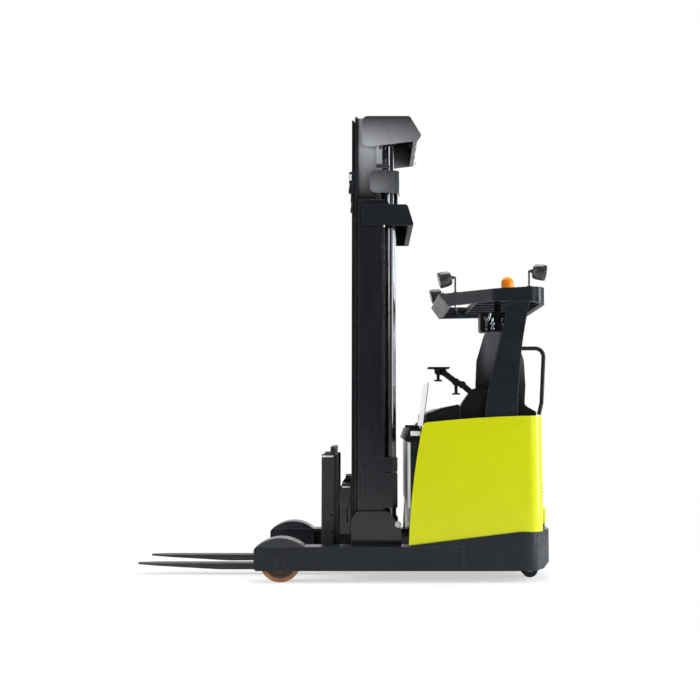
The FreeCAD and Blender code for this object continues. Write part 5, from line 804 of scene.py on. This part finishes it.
for strip, carried, left_behind, joint, keep, rear_low in CHAINS:
    strip_low, strip_high = (Vector(corner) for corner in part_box(strip))
    front_low = strip_low.z if strip == "mast_chains" else FREE_ANCHOR
    front = strip_low.x + CHAIN_THICKNESS / 2.0
    rear = strip_high.x - CHAIN_THICKNESS / 2.0
    side = strip_high.y - CHAIN_WIDTH / 2.0
    axle = (front + rear) / 2.0
    turn_radius = (rear - front) / 2.0 - CHAIN_THICKNESS / 2.0
    height = strip_high.z - turn_radius - CHAIN_THICKNESS
    parts = {name: bmesh.new() for name in ("turn", "front", "rear_moving", "rear_still")}
    for y in (-side, side):
        chain_turn(parts["turn"], axle, y, height, turn_radius)
        chain_run(parts["front"], front, y, front_low, height, CHAIN_SLIM)
        chain_run(parts["rear_moving"], rear, y, rear_low, height, CHAIN_SLIM * 2.0)
        chain_run(parts["rear_still"], rear, y, rear_low, height + STRAND_OVERLAP, CHAIN_SLIM)
    made = {name: made_piece(part, strip + "_" + name, left_behind if name == "rear_still" else carried,
                             "grey_steel") for name, part in parts.items()}
    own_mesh(made["front"])
    for piece in made.values():
        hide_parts(strip)
    print(strip, "front run", round(height - front_low, 3), "m, sheave at", round(height, 3), "m")

# %% [markdown]
# ## Work lamps
# A work lamp is a round moulded housing with a soft shoulder, a bright bowl inside and a
# clear lens.  Such a round shape is one profile turned about an axis, so a few points
# are laid in a bmesh and spun.  The solids' own lamps are plainer, and these take their
# place on slim bent stems.

# %% Helper for turned shapes
def turned(mesh, profile, place, direction, steps=28):
    """Spins a profile of radius and depth about a direction that starts at a place."""
    turn = Vector(direction).to_track_quat("Z", "Y").to_matrix().to_4x4()
    before = set(mesh.verts)
    points = [mesh.verts.new((radius, 0.0, depth)) for radius, depth in profile]
    edges = [mesh.edges.new(pair) for pair in zip(points, points[1:])]
    bmesh.ops.spin(mesh, geom=points + edges, cent=(0.0, 0.0, 0.0), axis=(0.0, 0.0, 1.0),
                   angle=math.tau, steps=steps, use_merge=True)
    made = [vertex for vertex in mesh.verts if vertex not in before]
    bmesh.ops.remove_doubles(mesh, verts=made, dist=1e-6)
    made = [vertex for vertex in mesh.verts if vertex not in before]
    bmesh.ops.transform(mesh, matrix=Matrix.Translation(place) @ turn, verts=made)


print("turned shapes ready")

# %% [markdown]
# The two front lamps shine forwards and the two rear ones backwards, each tilted a
# little down.  Depth counts from the lens towards the back of the housing.

# %% Work lamps
LAMP_PLACES = [
    # face centre x, side, z, tilt in degrees, way it faces, foot x, foot z
    (0.724, 0.463, 2.173, 14.0, -1.0, 0.844, 2.085),
    (1.490, 0.582, 2.213, 8.0, 1.0, 1.370, 2.1135),
]
HOUSING_PROFILE = [(0.0, -0.098), (0.026, -0.098), (0.042, -0.093), (0.052, -0.082), (0.057, -0.066),
                   (0.0595, -0.03), (0.0595, -0.006), (0.057, 0.0), (0.053, 0.0), (0.051, -0.006),
                   (0.045, -0.024), (0.03, -0.036), (0.0, -0.04)]
BOWL_PROFILE = [(0.05, -0.0065), (0.044, -0.0225), (0.03, -0.034), (0.0, -0.038), (0.0, -0.037),
                (0.03, -0.033), (0.043, -0.0215), (0.049, -0.0065), (0.05, -0.0065)]
LENS_PROFILE = [(0.0, -0.0005), (0.03, -0.0015), (0.0505, -0.004), (0.0505, -0.006), (0.03, -0.0045),
                (0.0, -0.0035)]
STEM_RADIUS = 0.007
STEM_JOINT = 0.104
JOINT_RADIUS = 0.014
FOOT_RADIUS = 0.016
FOOT_HEIGHT = 0.006

housings = bmesh.new()
bowls = bmesh.new()
lenses = bmesh.new()
for x, side, z, tilt, face, foot_x, foot_z in LAMP_PLACES:
    slope = math.radians(tilt)
    direction = Vector((face * math.cos(slope), 0.0, -math.sin(slope)))
    for y in (-side, side):
        centre = Vector((x, y, z))
        turned(housings, HOUSING_PROFILE, centre, direction)
        turned(bowls, BOWL_PROFILE, centre, direction)
        turned(lenses, LENS_PROFILE, centre, direction)
        joint = centre - direction * STEM_JOINT
        knee = Vector((foot_x, y, joint.z))
        for ball, radius in ((joint, JOINT_RADIUS), (knee, STEM_RADIUS)):
            bmesh.ops.create_uvsphere(housings, u_segments=14, v_segments=8, radius=radius,
                                      matrix=Matrix.Translation(ball))
        rod(housings, joint, knee, STEM_RADIUS, 10)
        rod(housings, knee, (foot_x, y, foot_z), STEM_RADIUS, 10)
        rod(housings, (foot_x, y, foot_z), (foot_x, y, foot_z + FOOT_HEIGHT), FOOT_RADIUS, 14)
lamp_housings = made_piece(housings, "lamp_housings", "chassis", "lamp_body", 40.0)
lamp_bowls = made_piece(bowls, "lamp_bowls", "chassis", "bright_steel", 40.0)
lamp_lenses = made_piece(lenses, "lamp_lenses", "chassis", "clear_sheet", 40.0)
for piece in (lamp_housings, lamp_bowls, lamp_lenses):
    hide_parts("work_lamps")
print("four work lamps,", len(lamp_housings.data.polygons), "faces")

# %% [markdown]
# ## Guard bars
# The operator looks up through the guard, so its bars run lengthways behind one cross
# bar, with a slim brace in front.  They are plain bars with softened edges, and each
# ends inside the guard's rim.

# %% Guard bars
BAR_LOW = 2.033
BAR_HIGH = 2.067
BAR_HALF = 0.013
BAR_EDGE = 0.004
BRACE_HALF = 0.005
BRACE_EDGE = 0.002
CROSS_FRONT = 1.002
CROSS_REAR = 1.028
BAR_REAR = 1.462
BAR_SIDES = (-0.48, -0.331, -0.165, 0.0, 0.165, 0.331, 0.48)
RIM_INSIDE = 0.518
BRACE_NEAR = Vector((0.842, -0.43, 0.0))
BRACE_FAR = Vector((0.945, 0.483, 0.0))

bars = bmesh.new()
box(bars, (CROSS_FRONT, -RIM_INSIDE, BAR_LOW), (CROSS_REAR, RIM_INSIDE, BAR_HIGH), bevel=BAR_EDGE)
for y in BAR_SIDES:
    box(bars, (CROSS_REAR - BAR_EDGE, y - BAR_HALF, BAR_LOW + 0.001),
        (BAR_REAR, y + BAR_HALF, BAR_HIGH - 0.001), bevel=BAR_EDGE)
brace = BRACE_FAR - BRACE_NEAR
brace_turn = Matrix.Translation(BRACE_NEAR) @ Matrix.Rotation(math.atan2(brace.y, brace.x), 4, "Z")
box(bars, (0.0, -BRACE_HALF, BAR_LOW - 0.01), (brace.length, BRACE_HALF, BAR_LOW + 0.016), brace_turn,
    BRACE_EDGE)
guard_bars = made_piece(bars, "guard_bars_lengthways", "chassis", "charcoal_paint")
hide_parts("guard_bars")
print(len(BAR_SIDES), "lengthways bars")

# %% [markdown]
# ## Top cover
# The cover on the mast's top is sheet steel with large soft corners.  Each side panel is
# one flat outline whose corners are rounded by a vertex bevel before it gets its wall.
# The roof and rear are a strip that follows the same outline, bent by an edge bevel.

# %% Helpers for sheet steel
COVER_WALL = 0.006


def joined(mesh, sheet):
    """Adds a small bmesh to a larger one."""
    data = bpy.data.meshes.new("sheet")
    sheet.to_mesh(data)
    sheet.free()
    mesh.from_mesh(data)
    bpy.data.meshes.remove(data)


def panel(mesh, corners, y, wall):
    """Adds an upright plate with an outline of x, z and rounding, at a side place."""
    sheet = bmesh.new()
    points = [sheet.verts.new((x, y, z)) for x, z, rounding in corners]
    sheet.faces.new(points)
    for point, (x, z, rounding) in zip(points, corners):
        if rounding:
            bmesh.ops.bevel(sheet, geom=[point], offset=rounding, segments=8, profile=0.5,
                            affect="VERTICES", material=-1)
    bmesh.ops.solidify(sheet, geom=list(sheet.faces), thickness=wall)
    joined(mesh, sheet)


def bent_strip(mesh, line, half, wall, bend):
    """Adds a strip across the part that follows a line of x and z, bent at its corners."""
    sheet = bmesh.new()
    points = [sheet.verts.new((x, -half, z)) for x, z in line]
    edges = [sheet.edges.new(pair) for pair in zip(points, points[1:])]
    made = bmesh.ops.extrude_edge_only(sheet, edges=edges)
    moved = [item for item in made["geom"] if isinstance(item, bmesh.types.BMVert)]
    bmesh.ops.translate(sheet, vec=(0.0, half * 2.0, 0.0), verts=moved)
    folds = [edge for edge in sheet.edges if len(edge.link_faces) == 2]
    bmesh.ops.bevel(sheet, geom=folds, offset=bend, segments=4, profile=0.5, affect="EDGES", material=-1)
    bmesh.ops.solidify(sheet, geom=list(sheet.faces), thickness=wall)
    joined(mesh, sheet)


print("cover wall", COVER_WALL, "m")

# %% [markdown]
# The cover is open below and in front.  A folded flange runs along its rear lip, which is seen from below as
# a lighter band.  The lower cover on the outer stage has the same flange, so both are made here; on that one
# the lighter band is painted light, a paler grey than the charcoal.

# %% Top cover
TOP_HALF = 0.360
TOP_OUTLINE = [(0.154, 3.453, 0.042), (0.515, 3.453, 0.012), (0.604, 3.304, 0.012), (0.581, 3.262, 0.014),
               (0.154, 3.207, 0.06)]
TOP_STRIP = [(0.19, 3.4505), (0.514, 3.4505), (0.6, 3.304), (0.578, 3.262), (0.541, 3.257)]
STRIP_GAP = 0.0005
STRIP_BEND = 0.01
PAD_SIDE = 0.28
PAD_HALF = 0.022

cover = bmesh.new()
for y in (-TOP_HALF, TOP_HALF):
    panel(cover, TOP_OUTLINE, y, COVER_WALL)
bent_strip(cover, TOP_STRIP, TOP_HALF - COVER_WALL - STRIP_GAP, -COVER_WALL / 2.0, STRIP_BEND)
for y in (-PAD_SIDE, PAD_SIDE):
    box(cover, (0.2, y - PAD_HALF, 3.4405), (0.272, y + PAD_HALF, 3.448), bevel=0.002)
top_cover = made_piece(cover, "top_cover_sheet", "inner_stage", "charcoal_paint", own_finish=top_sheet)
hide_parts("top_cover")

flange = bmesh.new()
box(flange, (0.498, -0.417, 2.5985), (0.537, 0.417, 2.6025), bevel=0.001)
made_piece(flange, "second_cover_flange", "reach_carriage", "charcoal_paint", own_finish=flange_painted_light)
print("top cover", len(top_cover.data.polygons), "faces")

# %% [markdown]
# ## Small parts of the mast
# Two hydraulic pipes climb the outer stage behind its rails, held by clips.  The middle stage carries the
# rods' yoke plates, two short pipes and their pulleys near its top, and the clips on its front flanges have
# zinc faces whose shine is a painted highlight, a pale grey paint in place of the metal's reflection.

# %% Helper for both sides
def box_pair(mesh, depths, sides, heights, bevel):
    """Adds the same box on the near side and on the far side."""
    for side in (-1.0, 1.0):
        near, far = sorted((side * sides[0], side * sides[1]))
        box(mesh, (depths[0], near, heights[0]), (depths[1], far, heights[1]), bevel=bevel)


print("helper for both sides ready")

# %% Pipes, yokes and clips
PIPE_RADIUS = 0.008
PIPE_PLACE = (0.317, 0.39)
PIPE_HEIGHTS = (0.36, 2.59)
CLIP_PITCH = 0.37
CLIP_COUNT = 6
CLIP_FRONT = 0.3065
CLIP_HALF = 0.014
CLIP_HEIGHT = 0.028
YOKE_DEPTHS = (0.2825, 0.306)
YOKE_SIDES = (0.343, 0.35)
YOKE_HEIGHTS = (2.87, 3.2)
ZINC_SHINE_DEPTHS = (0.0505, 0.074)
ZINC_SHINE_SIDES = (0.311, 0.3555)
ZINC_SHINE_HEIGHTS = (2.955, 3.006)
HOSE_PLACE = (0.318, 0.345)
PULLEY_HEIGHT = 3.25
PULLEY_RADIUS = 0.026
PULLEY_HALF = 0.008

pipes = bmesh.new()
uppers = bmesh.new()
yokes = bmesh.new()
faces = bmesh.new()
for side in (-1.0, 1.0):
    pipe_x, pipe_y = PIPE_PLACE[0], side * PIPE_PLACE[1]
    rod(pipes, (pipe_x, pipe_y, PIPE_HEIGHTS[0]), (pipe_x, pipe_y, PIPE_HEIGHTS[1]), PIPE_RADIUS, 14)
    for step in range(CLIP_COUNT):
        clip = PIPE_HEIGHTS[0] + 0.1 + CLIP_PITCH * step
        box(pipes, (CLIP_FRONT, pipe_y - CLIP_HALF, clip),
            (pipe_x + 0.01, pipe_y + CLIP_HALF, clip + CLIP_HEIGHT), bevel=0.003)
    hose_x, hose_y = HOSE_PLACE[0], side * HOSE_PLACE[1]
    rod(uppers, (hose_x, hose_y, YOKE_HEIGHTS[0]), (hose_x, hose_y, PULLEY_HEIGHT), PIPE_RADIUS, 14)
    pulley_x = hose_x + 0.016
    rod(uppers, (pulley_x, hose_y - PULLEY_HALF, PULLEY_HEIGHT),
        (pulley_x, hose_y + PULLEY_HALF, PULLEY_HEIGHT), PULLEY_RADIUS, 24)
box_pair(yokes, YOKE_DEPTHS, YOKE_SIDES, YOKE_HEIGHTS, 0.001)
# Painted highlight: pale grey paint on the clips' zinc faces in place of the metal's reflection.
box_pair(faces, ZINC_SHINE_DEPTHS, ZINC_SHINE_SIDES, ZINC_SHINE_HEIGHTS, 0.003)
made_piece(pipes, "mast_pipes", "reach_carriage", "charcoal_paint")
made_piece(uppers, "stage_pipes", "middle_stage", "black_plastic")
made_piece(yokes, "rod_yokes", "middle_stage", "mast_steel", own_finish=stage_steel)
made_piece(faces, "clip_shine_faces", "middle_stage", "pale_panel")
print("pipes up to", PIPE_HEIGHTS[1], "m")

# %% [markdown]
# ## Fork frame and carriage
# The frame's plates end in a machined chamfer that shines, and so does the carriage's cheek.  The shine is a
# painted highlight: thin bevelled bands of pale paint on the plates' faces.

# %% Painted highlights on the chamfers
# Pale painted highlights along the plates' chamfers.
HIGHLIGHT_BAND_SIDES = (0.2995, 0.3008)
HIGHLIGHT_BANDS = [
    # name, body, front and rear, low and high
    ("frame_highlight_bands", "fork_carriage", (-0.147, -0.06), (0.869, 0.881)),
    ("carriage_highlight_bands", "lift_carriage", (0.006, 0.064), (0.643, 0.652)),
]

for name, body, depths, heights in HIGHLIGHT_BANDS:
    highlight_bands = bmesh.new()
    box_pair(highlight_bands, depths, HIGHLIGHT_BAND_SIDES, heights, 0.0004)
    made_piece(highlight_bands, name, body, "pale_panel")
print("chamfers ready")

# %% [markdown]
# ## Terminal arm
# The arm is a chain of cast links with clamp screws at its joints, and it carries a flat plate.  The links
# are thick round bars between round knuckles, so they are rods with short cylinders where they meet.

# %% Terminal arm
ARM_SIDE = -0.5
LINK_RADIUS = 0.022
KNUCKLE_RADIUS = 0.026
KNUCKLE_HALF = 0.026
SCREW_RADIUS = 0.014
SCREW_HEAD_RADIUS = 0.029
ARM_LINE = [(0.945, 1.352), (0.886, 1.403), (0.838, 1.424), (0.745, 1.496), (0.711, 1.5)]
ARM_SCREWS = [(0.711, 1.5, 1.427), (0.841, 1.424, 1.33)]
ARM_PLATE = ((0.634, -0.562, 1.518), (0.792, -0.438, 1.53))

arm = bmesh.new()
for (start_x, start_z), (end_x, end_z) in zip(ARM_LINE, ARM_LINE[1:]):
    rod(arm, (start_x, ARM_SIDE, start_z), (end_x, ARM_SIDE, end_z), LINK_RADIUS, 18)
for x, z in ARM_LINE[1:]:
    rod(arm, (x, ARM_SIDE - KNUCKLE_HALF, z), (x, ARM_SIDE + KNUCKLE_HALF, z), KNUCKLE_RADIUS, 24)
for x, top, bottom in ARM_SCREWS:
    rod(arm, (x, ARM_SIDE, top), (x, ARM_SIDE, bottom + 0.006), SCREW_RADIUS, 18, 0.011)
    rod(arm, (x, ARM_SIDE, bottom), (x, ARM_SIDE, bottom + 0.012), SCREW_HEAD_RADIUS, 24)
head_x, head_z = ARM_LINE[-1]
rod(arm, (head_x, ARM_SIDE, head_z), (head_x, ARM_SIDE, ARM_PLATE[0][2] + 0.002), 0.024, 18, 0.034)
box(arm, *ARM_PLATE, bevel=0.004)
rod(arm, (0.935, ARM_SIDE, 1.345), (0.953, ARM_SIDE, 1.358), 0.032, 24)
terminal_arm = made_piece(arm, "terminal_arm_cast", "chassis", "black_plastic")
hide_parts("terminal_arm")
print("arm from", ARM_LINE[0], "to", ARM_LINE[-1])

# %% [markdown]
# ## Small parts of the body
# The service cover at the rear is a low yellow box with a dark vented panel above it.
# The belt's latch sits on the seat surround, a pale catch holds the lid, and a small
# pale coupling stands on the reach carriage.

# %% Rear service cover
HATCH_HALF = 0.385
HATCH_LOW = 0.385
HATCH_SEAM = 0.508
HATCH_HIGH = 0.7
VENT_SLATS = 6

hatch = bmesh.new()
box(hatch, (1.4565, -HATCH_HALF, HATCH_LOW), (1.506, HATCH_HALF, HATCH_SEAM), bevel=0.012)
hatch_piece = made_piece(hatch, "service_cover", "chassis", "yellow_paint")
vent = bmesh.new()
box(vent, (1.4565, -HATCH_HALF + 0.01, 0.356), (1.498, HATCH_HALF - 0.01, HATCH_LOW + 0.002), bevel=0.004)
box(vent, (1.4565, -HATCH_HALF, HATCH_SEAM - 0.002), (1.484, HATCH_HALF, HATCH_HIGH), bevel=0.008)
for slat in range(VENT_SLATS):
    low = HATCH_SEAM + 0.02 + slat * (HATCH_HIGH - HATCH_SEAM - 0.03) / VENT_SLATS
    box(vent, (1.482, -HATCH_HALF + 0.05, low), (1.496, HATCH_HALF - 0.05, low + 0.014), bevel=0.003)
vent_piece = made_piece(vent, "service_vent", "chassis", "charcoal_paint")
for piece in (hatch_piece, vent_piece):
    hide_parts("rear_cover")
print("service cover with", VENT_SLATS, "slats")

# %% Belt, catch and coupling
COUPLING_PLACE = (0.418, 0.387)

belt = bmesh.new()
box(belt, (1.03, -0.562, 1.318), (1.078, -0.553, 1.345), bevel=0.004)
rod(belt, (1.054, -0.557, 1.34), (1.054, -0.557, 1.372), 0.006, 10)
bmesh.ops.create_uvsphere(belt, u_segments=16, v_segments=10, radius=0.014,
                          matrix=Matrix.Translation((1.054, -0.56, 1.35)))
made_piece(belt, "belt_latch", "chassis", "black_plastic")
catch = bmesh.new()
box(catch, (0.503, -0.6015, 1.033), (0.576, -0.5955, 1.066), bevel=0.002)
made_piece(catch, "lid_catch", "chassis", "pale_panel")
coupling = bmesh.new()
coupling_x, coupling_z = COUPLING_PLACE
rod(coupling, (coupling_x, -0.478, coupling_z), (coupling_x, -0.4515, coupling_z), 0.02, 24, 0.023)
rod(coupling, (coupling_x, -0.486, coupling_z), (coupling_x, -0.476, coupling_z), 0.014, 12)
made_piece(coupling, "hose_coupling", "reach_carriage", "pale_panel")
print("belt latch, catch and coupling ready")

# %% [markdown]
# The unit under the guard has a small swivel bracket of bright metal on its near face:
# two balls on an upright pin, between short bars.

# %% Bracket of the roof unit
UNIT_FACE = -0.4
PIN_X = 1.122
PIN_HEIGHTS = (1.81, 1.9)
BALLS = ((1.86, 0.019), (1.824, 0.016))

bracket = bmesh.new()
box(bracket, (1.062, UNIT_FACE - 0.012, 1.89), (1.114, UNIT_FACE + 0.001, 1.91), bevel=0.003)
box(bracket, (1.073, UNIT_FACE - 0.014, 1.808), (1.087, UNIT_FACE + 0.001, 1.892), bevel=0.003)
rod(bracket, (1.088, UNIT_FACE - 0.01, 1.882), (1.108, UNIT_FACE - 0.01, 1.938), 0.011, 14)
for height, radius in BALLS:
    bmesh.ops.create_uvsphere(bracket, u_segments=20, v_segments=12, radius=radius,
                              matrix=Matrix.Translation((PIN_X, UNIT_FACE - 0.012, height)))
rod(bracket, (PIN_X, UNIT_FACE - 0.012, PIN_HEIGHTS[0]), (PIN_X, UNIT_FACE - 0.012, PIN_HEIGHTS[1]),
    0.008, 12)
box(bracket, (1.19, UNIT_FACE - 0.01, 1.85), (1.214, UNIT_FACE + 0.001, 1.9), bevel=0.003)
made_piece(bracket, "unit_bracket", "chassis", "bright_steel")
print("bracket on the roof unit")
